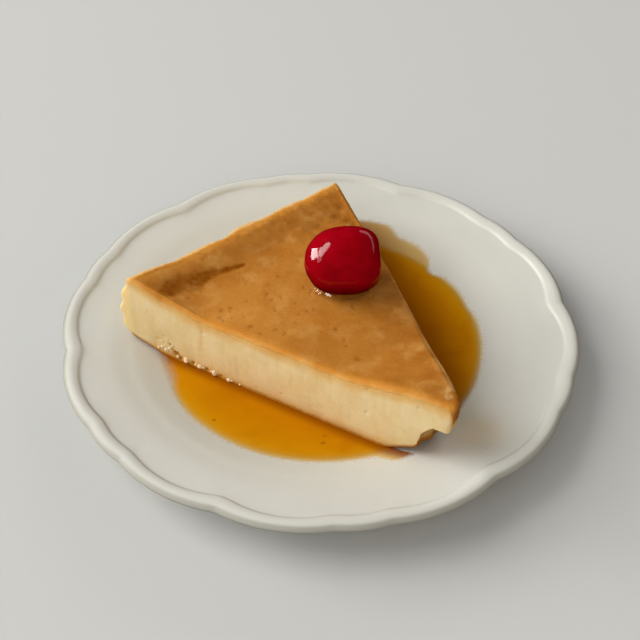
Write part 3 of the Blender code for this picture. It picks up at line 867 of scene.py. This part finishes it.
# The cutter's faces carry a second material, which shows after the cut where the custard is torn
custard = piece_from_mesh("custard_slice", bm, flan_material("custard"), bpy.data.materials.new("crumb"))
cutter = build_break_cutter()
for material in custard.data.materials:
    cutter.data.materials.append(material)
for face in cutter.data.polygons:
    face.material_index = 1
broken = custard.modifiers.new("broken tip", "BOOLEAN")
broken.operation = "DIFFERENCE"
broken.solver = "EXACT"
broken.object = cutter
depsgraph = bpy.context.evaluated_depsgraph_get()
custard.data = bpy.data.meshes.new_from_object(custard.evaluated_get(depsgraph))
custard.modifiers.clear()
custard.data.shade_smooth()
bpy.data.objects.remove(cutter)
torn, kept = set(), set()
for face in custard.data.polygons:
    (torn if face.material_index else kept).update(face.vertices)
    face.material_index = 0
custard.data.materials.pop(index=1)
sharpen(custard, torn & kept)
custard.visible_glossy = False
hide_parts("custard")
spots = points_of(custard)
rises = [p.z - slice_bottom(p.x, p.y) for p in spots]
mark(
    custard,
    depth=[slice_top(p.x, p.y) - p.z - DRIP_LENGTH * drip_share(p.x, p.y) for p in spots],
    stain=lambda x, y: DRIP_STAIN * drip_share(x, y),
    rise=[rise * (TORN_RISE if index in torn else 1.0) for index, rise in enumerate(rises)],
    outer=outer_share,
    broken=[(index in torn) * (0.5 if index in kept else 1.0) for index in range(len(spots))],
    soaked=[soaked_share(*p) for p in spots],
)


# Froth. The lumps of baked egg froth that cling to the slice's foot at the left, where the mould's
# floor met the custard. They are the custard itself, a little paler and wet.
FROTH_COLOUR = (0.9, 0.66, 0.44)
# Place and radius
FROTH_LUMPS = (
    (-51.2, -8.3, 11.7, 0.9), (-43.2, -12.9, 10.2, 1.23), (-38.6, -15.3, 9.8, 1.06),
    (-33.8, -18.1, 9.7, 1.06), (-29.0, -20.7, 9.3, 0.9), (-49.9, -9.1, 11.2, 0.9),
    (-52.6, -7.6, 10.9, 0.67), (-50.1, -9.0, 13.2, 0.62), (-49.3, -9.5, 16.0, 0.5),
    (-47.4, -10.4, 14.3, 0.67), (-48.6, -9.8, 12.6, 0.78), (-51.0, -8.5, 14.8, 0.5),
    (-47.9, -10.1, 17.4, 0.45), (-46.1, -11.2, 12.9, 0.5), (-54.0, -6.8, 13.9, 0.5),
    (-46.2, -11.1, 9.9, 0.56), (-34.8, -17.5, 9.7, 0.5), (-40.0, -14.6, 9.9, 0.56),
    (-37.4, -16.0, 9.9, 0.5), (-28.0, -21.3, 9.5, 0.45), (-25.4, -22.8, 9.3, 0.39),
)


def froth_material():
    wiring = Wiring("froth")
    grain = wiring.noise(0.5, detail=2.0)
    return wiring.finish(
        base_color=wiring.mottle(grain, 0.35, 0.7, FROTH_COLOUR, CUSTARD_COLOUR),
        roughness=0.42,
        normal=wiring.bump(grain, 0.03),
        subsurface_weight=0.2,
        subsurface_scale=0.001,
    )


bm = bmesh.new()
front = Vector((*SIDE_NORMALS[FRONT_SIDE], 0.0))
for index, (x, y, z, radius) in enumerate(FROTH_LUMPS):
    made = bmesh.ops.create_icosphere(bm, subdivisions=3, radius=1.0)["verts"]
    for vert in made:
        way = vert.co.copy()
        reach = radius * (1.0 + 0.22 * noise.noise(way * 1.6 + Vector((index, 0.0, 0.0))))
        vert.co = Vector((x, y, z)) + way * reach - front * 0.3 * radius
froth = piece_from_mesh("custard_froth", bm, froth_material())


# Caramel top. The layer of the custard that the mould's caramel has stained brown, a millimetre and
# a half deep. It is smooth and wet from the mould, mottled where the caramel took unevenly, and it
# carries a long dark dent near the left corner and lumps near the far one.
TOP_PITCH = 0.5
EDGE_RINGS = 5
# The caramel lies this far above the slice's browned foot, or more
CARAMEL_RISE = 20.0
# Line of the dent, and half its width there
DENT_PATH = (
    (-50.4, -7.2, 1.6), (-48.6, -4.8, 2.8), (-46.8, -2.0, 4.0), (-43.4, 0.4, 4.2),
    (-40.2, 2.3, 3.5), (-37.3, 4.4, 2.4), (-34.0, 6.6, 2.0), (-31.0, 8.0, 1.8),
    (-28.0, 9.5, 1.5), (-25.6, 10.6, 1.0),
)
DENT_DEPTH = 0.12
CORNER_STAIN = (-54.5, -4.5)
CORNER_STAIN_WIDTH = 2.2
TORN_SKIN = ((39.3, -47.4), (38.5, -49.2), (37.2, -51.0), (37.3, -52.4))
TORN_SKIN_WIDTH = 1.6
TORN_SKIN_LIFT = 0.1
FAR_DENTS = ((5.0, 37.3, 3.2), (8.8, 35.0, 2.4), (5.7, 42.4, 2.6), (-1.7, 31.2, 2.8), (11.0, 33.0, 1.8))
# Pits that the photo shows, and the part of the top that carries small ones as well
TOP_PITS = (
    (-31.0, -11.1), (-28.1, -10.2), (-31.3, -14.5), (-21.4, -18.8), (11.7, -32.3),
    (13.6, -46.0), (8.4, -26.8), (7.8, -24.4), (5.1, -19.6), (-41.6, -6.2),
)
RANDOM_TOP_PITS = 70
PITTED_PLACE = (-18.0, -4.0)
PITTED_REACH = (37.4, 20.4)


def dent_share(x, y):
    """How deep a place lies in the long dent."""
    gap, place = distance_to_path([spot[:2] for spot in DENT_PATH], (x, y))
    widths = [spot[2] for spot in DENT_PATH]
    width = np.interp(place * (len(widths) - 1), range(len(widths)), widths)
    return smoothstep(1.5, 0.3, gap / width + 0.35 * unevenness(x, y, 1.0, 3.0, 3))


def far_share(x, y):
    return max(bell(math.dist((x, y), place), width) for *place, width in FAR_DENTS)


def top_pits():
    draw = random.Random(5)
    pits = [(x, y, draw.uniform(0.5, 0.85)) for x, y in TOP_PITS]
    for _ in range(RANDOM_TOP_PITS):
        turn, reach = draw.uniform(0.0, 2.0 * math.pi), draw.random() ** 0.5
        x = PITTED_PLACE[0] + reach * math.cos(turn) * PITTED_REACH[0]
        y = PITTED_PLACE[1] + reach * math.sin(turn) * PITTED_REACH[1]
        pits.append((x, y, draw.uniform(0.25, 0.5)))
    return np.array(pits)


PITTED = top_pits()


def pit_share(x, y):
    return float(np.max(np.exp(-((np.hypot(PITTED[:, 0] - x, PITTED[:, 1] - y) / PITTED[:, 2]) ** 2))))


def caramel_surface(x, y):
    """Height of the caramel top with its dent, lumps, pits and fine unevenness."""
    lumps = smoothstep(14.0, 28.0, y) * unevenness(x, y, 3.0, 3.4, 3)
    soft = unevenness(x, y, 0.0, 12.0, 3)
    fine = unevenness(x, y, 7.0, 2.4)
    rim = smoothstep(4.0, 0.5, inside(OUTER_SIDE, x, y)) * unevenness(x, y, 9.0, 1.8)
    dents = DENT_DEPTH * dent_share(x, y) + 0.4 * far_share(x, y) + 0.25 * pit_share(x, y)
    torn = TORN_SKIN_LIFT * smoothstep(TORN_SKIN_WIDTH, 0.0, distance_to_path(TORN_SKIN, (x, y))[0])
    torn *= 1.0 + 4.0 * fine
    return slice_top(x, y) - dents + torn + 0.22 * lumps + 0.13 * soft + 0.03 * fine + 0.18 * rim


def fill_cap(bm, ring, pitch, height):
    """Fills a ring with an even net of triangles on the surface that height gives."""
    outline = [Vector((v.co.x, v.co.y)) for v in ring]
    count = len(outline)
    edges = np.array([(p.x, p.y) for p in outline])
    after = np.roll(edges, -1, axis=0)
    low_x, low_y = edges.min(axis=0)
    net = []
    step_y = pitch * math.sqrt(0.75)
    for row in range(1, int((edges[:, 1].max() - low_y) / step_y)):
        y = low_y + row * step_y
        crossing = (edges[:, 1] > y) != (after[:, 1] > y)
        a, b = edges[crossing], after[crossing]
        cuts = np.sort(a[:, 0] + (y - a[:, 1]) / (b[:, 1] - a[:, 1]) * (b[:, 0] - a[:, 0]))
        for start, stop in zip(cuts[::2], cuts[1::2]):
            x = low_x + (row % 2) * pitch / 2.0
            x += math.ceil((start - x) / pitch) * pitch
            while x < stop:
                if np.min(np.hypot(edges[:, 0] - x, edges[:, 1] - y)) > pitch * 0.55:
                    net.append(Vector((x, y)))
                x += pitch
    border = [(index, (index + 1) % count) for index in range(count)]
    result = geometry.delaunay_2d_cdt(outline + net, border, [], 1, 1e-6)
    made = []
    for point, origin in zip(result[0], result[3]):
        if origin and origin[0] < count:
            made.append(ring[origin[0]])
        else:
            made.append(bm.verts.new((point.x, point.y, height(point.x, point.y))))
    for face in result[2]:
        bm.faces.new([made[index] for index in face])


def stain_share(x, y):
    """How dark the caramel is: stained most in the dents and some along the outer side, with painted
    shade that darkens it towards the back and the tip.
    """
    inwards = inside(OUTER_SIDE, x, y)
    return max(
        0.92 * dent_share(x, y),
        0.75 * far_share(x, y),
        0.5 * pit_share(x, y),
        0.3 * smoothstep(2.5, 7.0, inwards) * smoothstep(24.0, 8.0, inwards),
        # Painted shade: the top darkens towards the back and towards the tip
        0.32 * smoothstep(8.0, 34.0, y),
        0.42 * smoothstep(-8.0, 34.0, x),
        0.45 * bell(math.dist((x, y), CORNER_STAIN), CORNER_STAIN_WIDTH),
        0.7 * drip_share(x, y),
    )


def pale_share(x, y):
    """Where the custard shows through: along the outer edge, and in the torn skin at the tip."""
    ragged = 0.5 * unevenness(x, y, 4.0, 1.6)
    corner = 0.5 * smoothstep(6.0, 1.0, math.dist((x, y), CORNER_LEFT))
    fringe = smoothstep(0.9, -0.1, inside(OUTER_SIDE, x, y) + ragged - corner)
    gap = distance_to_path(TORN_SKIN, (x, y))[0]
    return max(0.75 * fringe, 0.34 * smoothstep(TORN_SKIN_WIDTH, 0.5, gap + 2.2 * ragged))


def rim_and_edge_light_share(x, y):
    """Where the caramel is orange: thin in a band along the outer side, and lighter along the front edge
    with painted light.
    """
    outer = inside(OUTER_SIDE, x, y) + 1.2 * unevenness(x, y, 6.0, 3.0)
    return max(0.7 * smoothstep(4.0, 1.2, outer), 0.5 * smoothstep(4.0, 0.5, inside(FRONT_SIDE, x, y)))


bm = bmesh.new()
rounded = slice_outline(1.0, TOP_EDGE_ROUNDING)
lower = add_vertices(bm, wall_ring(seam, edge_heights(CARAMEL_DEPTH)))
rings = [lower]
for drop in (1.4, TOP_EDGE_ROUNDING):
    rings.append(add_vertices(bm, wall_ring(seam, edge_heights(drop))))
for step in range(1, EDGE_RINGS + 1):
    turn = math.pi / 2.0 * step / EDGE_RINGS
    inwards, drop = 1.0 - math.cos(turn), TOP_EDGE_ROUNDING * (1.0 - math.sin(turn))
    outline = [between(a, b, inwards) for a, b in zip(seam, rounded)]
    rings.append(add_vertices(bm, wall_ring(outline, edge_heights(drop))))
join_rings(bm, rings)
cap(bm, seam, lower, seam_surface, False)
fill_cap(bm, rings[-1], TOP_PITCH, caramel_surface)
caramel = piece_from_mesh("caramel_top_stained", bm, flan_material("caramel"))
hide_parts("caramel_top")
on_wall = len(lower) * len(rings)
depths = [
    (max(slice_top(p.x, p.y) - p.z, 0.0) if index < on_wall else 0.0) - DRIP_LENGTH * drip_share(p.x, p.y)
    for index, p in enumerate(points_of(caramel))
]
mark(caramel, depth=depths, rise=[CARAMEL_RISE] * len(depths), outer=outer_share)
mark(caramel, rim=rim_and_edge_light_share, pale=pale_share, stain=stain_share)
sharpen(caramel, set(range(len(lower))))


# Cherry. A candied cherry without its stem, drained of its syrup, squarish and dented from the jar,
# deep red and glossy. It lies on the caramel top and has sunk in a little.
CHERRY_PLACE = (7.0, 2.2)
CHERRY_SIZE = (24.4, 22.6, 18.4)
CHERRY_SQUARENESS = 2.55
CHERRY_SKEW = 0.4
CHERRY_SIDES = 96
CHERRY_BANDS = 56
CHERRY_TILT = math.radians(-7.0)
CHERRY_SINK = 0.35
CHERRY_COLOUR = (0.34, 0.0009, 0.0065)
CHERRY_DARK_COLOUR = (0.26, 0.0008, 0.004)
CHERRY_FOOT_SHADE_COLOUR = (0.12, 0.0006, 0.001)
# Painted shade: where the cherry darkens towards its foot, in shares of its half height
CHERRY_FOOT_SHADE = (0.15, -0.6)


def cherry_material():
    wiring = Wiring("cherry")
    flesh = wiring.noise(9.0, detail=2.0)
    skin = wiring.noise(2.4, detail=2.0)
    colour = wiring.mottle(flesh, 0.35, 0.7, CHERRY_COLOUR, CHERRY_DARK_COLOUR)
    # The low attribute paints shade on the cherry's lower part
    return wiring.finish(
        base_color=wiring.mix(wiring.attribute("low"), colour, CHERRY_FOOT_SHADE_COLOUR),
        roughness=wiring.ramp(skin, 0.3, 0.75, 0.04, 0.09),
        normal=wiring.bump(skin, 0.06),
        subsurface_weight=0.15,
        subsurface_scale=0.003,
        specular_ior_level=0.25,
        subsurface_radius=(1.0, 0.05, 0.04),
    )


def cherry_point(rise, turn):
    way = Vector((math.cos(rise) * math.cos(turn), math.cos(rise) * math.sin(turn), math.sin(rise)))
    squareness = CHERRY_SQUARENESS + CHERRY_SKEW * way.x
    reach = sum(abs(c) ** squareness for c in way) ** (-1.0 / squareness)
    dent = 1.0 + 0.02 * noise.fractal(way * 1.6 + Vector((4.0, 1.0, 2.0)), 1.0, 2.0, 2)
    return Vector([c * reach * dent * size / 2.0 for c, size in zip(way, CHERRY_SIZE)])


bm = bmesh.new()
tilt = Matrix.Rotation(CHERRY_TILT, 3, "Y")
turns = [2.0 * math.pi * side / CHERRY_SIDES for side in range(CHERRY_SIDES)]
cherry_rings = []
for band in range(1, CHERRY_BANDS):
    rise = math.pi * (band / CHERRY_BANDS - 0.5)
    cherry_rings.append([tilt @ cherry_point(rise, turn) for turn in turns])
place_x, place_y = CHERRY_PLACE
sunk = min(p.z - slice_top(place_x + p.x, place_y + p.y) for ring in cherry_rings for p in ring)
centre = Vector((place_x, place_y, -CHERRY_SINK - sunk))
cherry_rings = [[centre + p for p in ring] for ring in cherry_rings]
rings = [add_vertices(bm, ring) for ring in cherry_rings]
join_rings(bm, rings)
fan(bm, rings[0], centre + tilt @ cherry_point(-math.pi / 2.0, 0.0), False)
fan(bm, rings[-1], centre + tilt @ cherry_point(math.pi / 2.0, 0.0), True)
cherry = piece_from_mesh("cherry_candied", bm, cherry_material())
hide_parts("cherry")
half = CHERRY_SIZE[2] / 2.0
# Painted shade towards the cherry's foot
mark(cherry, low=[smoothstep(*CHERRY_FOOT_SHADE, (p.z - centre.z) / half) for p in points_of(cherry)])


# Cherry syrup. The little ring of the cherry's own syrup that fills the corner between it and the
# caramel. It is clear and wet, stands highest against the cherry and thins out to nothing.
RING_HEIGHT = 1.3
RING_WIDTH = 2.0
RING_TUCK = 0.4
RING_STEPS = 8
RING_COLOUR = (0.46, 0.16, 0.02)


def ring_material():
    wiring = Wiring("cherry_syrup")
    darker = tuple(channel * 0.75 for channel in RING_COLOUR)
    colour = wiring.mottle(wiring.noise(5.0, detail=1.0), 0.3, 0.7, RING_COLOUR, darker)
    return wiring.finish(base_color=colour, roughness=0.05, alpha=wiring.attribute("body"))


bm = bmesh.new()
rings = [[] for _ in range(RING_STEPS + 1)]
for side in range(CHERRY_SIDES):
    column = [ring[side] for ring in cherry_rings[: CHERRY_BANDS // 2]]
    wall = next(p for p in column if p.z > slice_top(p.x, p.y) + RING_HEIGHT)
    away = Vector((wall.x - centre.x, wall.y - centre.y)).normalized()
    width = RING_WIDTH * (1.0 + 0.35 * noise.noise(Vector((away.x, away.y, 0.0)) * 2.2))
    for step in range(RING_STEPS + 1):
        share = step / RING_STEPS
        x, y = wall.xy + away * (width * share - RING_TUCK)
        top = caramel_surface(x, y)
        height = (wall.z - top + 0.1) * (1.0 - share) ** 2.2 + 0.02
        rings[RING_STEPS - step].append((x, y, top + height))
join_rings(bm, [add_vertices(bm, ring) for ring in rings])
syrup = piece_from_mesh("cherry_syrup", bm, ring_material())
heights = [p.z - caramel_surface(p.x, p.y) for p in points_of(syrup)]
mark(syrup, body=[0.15 + 0.6 * smoothstep(0.0, 0.8, height) for height in heights])


def light_only(pieces, lamps):
    """Lets the lamps of those names reach nothing but the pieces."""
    lit = bpy.data.collections.new("lit_by_" + lamps[0])
    for piece in pieces:
        lit.objects.link(piece)
    for lamp in lamps:
        bpy.data.objects[lamp].light_linking.receiver_collection = lit


light_only((cherry, syrup), ("cherry_window", "cherry_window_top", "cherry_back_glint"))
light_only((syrup,), ("ring_window",))
# In the photo the pale plate and the caramel hardly show in the cherry's gloss
plate.visible_glossy = False
caramel.visible_glossy = False


# Sauce. Thin caramel syrup that ran off the top and lies round the slice, level, in three pools.
# It is deep amber where it is deep, and tan at its feather edge on the plate, with a thin film
# beyond it in two places. It wets the custard and stands a little higher there, and beside the slice it
# carries a painted shadow of the slice, widest in the pool at the right.
SAUCE_STEPS = 300
SAUCE_PITCH = 1.0
SAUCE_TUCK = 1.2
SAUCE_BED_GAP = 0.01
SAUCE_TOP_GAP = 0.05
MENISCUS = 0.45
MENISCUS_WIDTH = 1.2
EDGE_EASE = 3.8
EDGE_REACH = 0.9
# Distance in from the pools' edge where the syrup begins to show, and where it shows in full
EDGE_CLEAR = 0.3
EDGE_FADE = 2.3
FILM_THICKNESS = 0.14
FILM_COVER = 0.92
# The front pool fades out more slowly at its left end
POOL_LEFT_END = (-51.0, -15.0)
POOL_LEFT_REACH = 12.0
# Direction in degrees, reach of the film beyond the level's edge
FILM_REACH = (
    (-80.0, 0.0), (-72.0, 0.5), (-66.0, 5.5), (-60.0, 5.0), (-52.0, 0.0), (36.0, 0.0), (43.0, 0.1),
    (47.0, 2.6), (55.0, 4.6), (61.0, 4.8), (68.0, 8.3), (76.0, 8.0), (86.0, 3.0), (96.0, 0.0),
)
# Notches in the pools' edge: direction in degrees, depth, half width in degrees
NOTCH_PLACES = ((42.0, 1.7, 4.0), (19.0, 0.7, 5.0), (-158.0, 0.8, 5.0))
# Share of the full depth, colour of the syrup over the white plate there
SAUCE_COLOURS = (
    (0.0, (0.67, 0.62, 0.5)), (0.03, (0.62, 0.42, 0.15)),
    (0.07, (0.56, 0.35, 0.09)), (0.14, (0.53, 0.285, 0.035)),
    (0.26, (0.56, 0.25, 0.008)), (0.45, (0.58, 0.235, 0.0015)),
    (1.0, (0.53, 0.185, 0.0006)),
)
SAUCE_DEEP_COLOUR = (0.44, 0.135, 0.0006)
SAUCE_SLICE_SHADE_COLOUR = (0.28, 0.072, 0.0006)
SAUCE_DEEP = 3.8
WET_SHARE = (SAUCE_LEVEL - PLATE_FLOOR) / (SLICE_TOP - PLATE_FLOOR)
# Node, side of the slice, how far that side stands out at the syrup, width of the painted shadow of the
# slice beside it
POOLS = (
    ("sauce_front", FRONT_SIDE, cut_move(WET_SHARE), 4.0),
    ("sauce_right", BACK_SIDE, cut_move(WET_SHARE), 27.0),
    ("sauce_back", OUTER_SIDE, outer_move(WET_SHARE), 8.0),
)


def sauce_material():
    wiring = Wiring("sauce")
    thick = wiring.math("DIVIDE", wiring.attribute("thick"), SAUCE_DEEP)
    ramp = wiring.node("ShaderNodeValToRGB", {0: thick})
    stops = ramp.color_ramp.elements
    while len(stops) < len(SAUCE_COLOURS):
        stops.new(0.5)
    for stop, (position, colour) in zip(stops, SAUCE_COLOURS):
        stop.position = position
        stop.color = (*colour, 1.0)
    swirl = wiring.noise(16.0, detail=2.0, distortion=1.0)
    deep = wiring.math("MULTIPLY", wiring.ramp(swirl, 0.4, 0.75, 0.0, 0.5), wiring.ramp(thick, 0.1, 0.5))
    colour = wiring.mix(deep, ramp.outputs[0], SAUCE_DEEP_COLOUR)
    # The near attribute paints the slice's shadow on the syrup beside it
    return wiring.finish(
        base_color=wiring.mix(wiring.attribute("near"), colour, SAUCE_SLICE_SHADE_COLOUR),
        roughness=0.08,
        normal=wiring.bump(wiring.noise(9.0, detail=1.0), 0.05),
        alpha=wiring.attribute("cover"),
        specular_ior_level=0.22,
    )


def pool_edge(angle):
    """Radius of the pools' edge on the plate: nearly a circle, with the films that run beyond it."""
    wobble = 0.4 * noise.noise(Vector((math.cos(angle), math.sin(angle), 0.3)) * 4.2)
    degrees = (math.degrees(angle) + 180.0) % 360.0 - 180.0
    reach = smooth_curve(FILM_REACH, max(degrees, FILM_REACH[0][0]))
    for place, length, spread in NOTCH_PLACES:
        reach -= length * bell(degrees - place, spread)
    return SAUCE_EDGE + EDGE_REACH + wobble + reach


def beside_slice(side, x, y, clearance):
    """How far a point lies outside a side of the slice that is moved out by a clearance."""
    normal = SIDE_NORMALS[side]
    here, there = CORNERS[side], CORNERS[(side + 1) % 4]
    along = ((y - here[1]) * normal[0] - (x - here[0]) * normal[1]) / math.dist(here, there)
    return -inside(side, x, y) - clearance - side_swell(side, along)


def pool_outline(side, clearance):
    """Outline of a pool: its edge on the plate's verge, closed inside the slice's side."""
    middle = math.atan2(SIDE_NORMALS[side][1], SIDE_NORMALS[side][0])
    outline = []
    for step in range(SAUCE_STEPS + 1):
        angle = middle + math.pi * (step / SAUCE_STEPS - 0.5)
        radius = pool_edge(angle)
        x, y = radius * math.cos(angle), radius * math.sin(angle)
        if beside_slice(side, x, y, clearance) > 0.0:
            outline.append((x, y))
    start, end = outline[-1], outline[0]
    steps = SAUCE_STEPS // 2
    for step in range(1, steps):
        x, y = between(start, end, step / steps)
        short = -beside_slice(side, x, y, clearance)
        outline.append((x + SIDE_NORMALS[side][0] * short, y + SIDE_NORMALS[side][1] * short))
    return outline


def from_edge(x, y):
    """Distance inwards from the pools' edge, about along the radius."""
    return pool_edge(math.atan2(y, x)) - math.hypot(x, y)


def cover_share(x, y):
    """How much the syrup hides the plate: nothing at its feather edge, nearly all in the thin film."""
    body = smoothstep(0.0, 0.9, SAUCE_LEVEL - plate_height(x, y))
    fade = EDGE_FADE * (1.0 + 2.0 * bell(math.dist((x, y), POOL_LEFT_END), POOL_LEFT_REACH))
    return smoothstep(EDGE_CLEAR, fade, from_edge(x, y)) * (FILM_COVER + (1.0 - FILM_COVER) * body)


def bed_surface(x, y):
    return plate_height(x, y) + SAUCE_BED_GAP


sauce_finish = sauce_material()
for node, side, face, slice_shade_width in POOLS:

    def surface(x, y):
        """Level of the syrup, eased down to nothing at its edge and raised against the slice."""
        climb = MENISCUS * math.exp(-max(beside_slice(side, x, y, face), 0.0) / MENISCUS_WIDTH)
        bed = plate_height(x, y)
        thickness = max(SAUCE_LEVEL + climb - bed, FILM_THICKNESS)
        return bed + SAUCE_TOP_GAP + thickness * smoothstep(-0.05, EDGE_EASE, from_edge(x, y))

    outline = pool_outline(side, face - SAUCE_TUCK)
    bm = bmesh.new()
    under = add_vertices(bm, [(x, y, bed_surface(x, y)) for x, y in outline])
    over = add_vertices(bm, [(x, y, surface(x, y)) for x, y in outline])
    join_rings(bm, [under, over])
    fill_cap(bm, over, SAUCE_PITCH, surface)
    cap(bm, outline, under, bed_surface, False)
    pool = piece_from_mesh(node + "_syrup", bm, sauce_finish)
    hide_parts(node)
    spots = points_of(pool)
    top = range(len(under), len(spots) - len(CAP_RINGS) * len(under) - 1)
    mark(
        pool,
        thick=[p.z - plate_height(p.x, p.y) for p in spots],
        cover=[cover_share(p.x, p.y) if index in top else 0.0 for index, p in enumerate(spots)],
        # Painted shadow of the slice on the syrup beside it
        near=[smoothstep(slice_shade_width, 0.0, beside_slice(side, p.x, p.y, face)) for p in spots],
    )
    pool.visible_shadow = False
    sharpen(pool, set(range(2 * len(under))))


# Flecks. Crumbs of burnt sugar and custard skin that float in the syrup, dark brown and wet. The
# photo shows four large ones, and small ones are strewn over all three pools.
FLECK_COLOUR = (0.3, 0.1, 0.002)
FLECKS = ((1.7, -43.3), (1.4, -46.2), (10.0, -44.4), (-32.7, -37.2))
RANDOM_FLECKS = 22
FLECK_CLEARANCE = 2.1
FLECK_MARGIN = 4.0


def fleck_material():
    wiring = Wiring("flecks")
    paler = tuple(channel * 1.6 for channel in FLECK_COLOUR)
    colour = wiring.mottle(wiring.noise(1.5, detail=2.0), 0.3, 0.7, FLECK_COLOUR, paler)
    return wiring.finish(base_color=colour, roughness=0.15)


draw = random.Random(23)
bm = bmesh.new()
places = [(x, y, 1.0) for x, y in FLECKS]
while len(places) < len(FLECKS) + RANDOM_FLECKS:
    x, y = draw.uniform(-48.0, 48.0), draw.uniform(-50.0, 50.0)
    clear = max(beside_slice(side, x, y, FLECK_CLEARANCE) for side in (FRONT_SIDE, BACK_SIDE, OUTER_SIDE))
    if clear > 0.0 and math.hypot(x, y) < SAUCE_EDGE - FLECK_MARGIN:
        places.append((x, y, draw.uniform(0.2, 0.5)))
for x, y, size in places:
    made = bmesh.ops.create_icosphere(bm, subdivisions=2, radius=1.0)["verts"]
    turn, stretch = draw.uniform(0.0, math.pi), draw.uniform(1.0, 1.7)
    for vert in made:
        way = vert.co * (1.0 + 0.45 * noise.noise(vert.co * 2.0 + Vector((x, y, 0.0))))
        shape = Vector((way.x * 0.7 * stretch, way.y * 0.6, way.z * 0.1)) * size
        vert.co = Vector((x, y, SAUCE_LEVEL)) + Matrix.Rotation(turn, 3, "Z") @ shape
flecks = piece_from_mesh("sauce_flecks", bm, fleck_material())
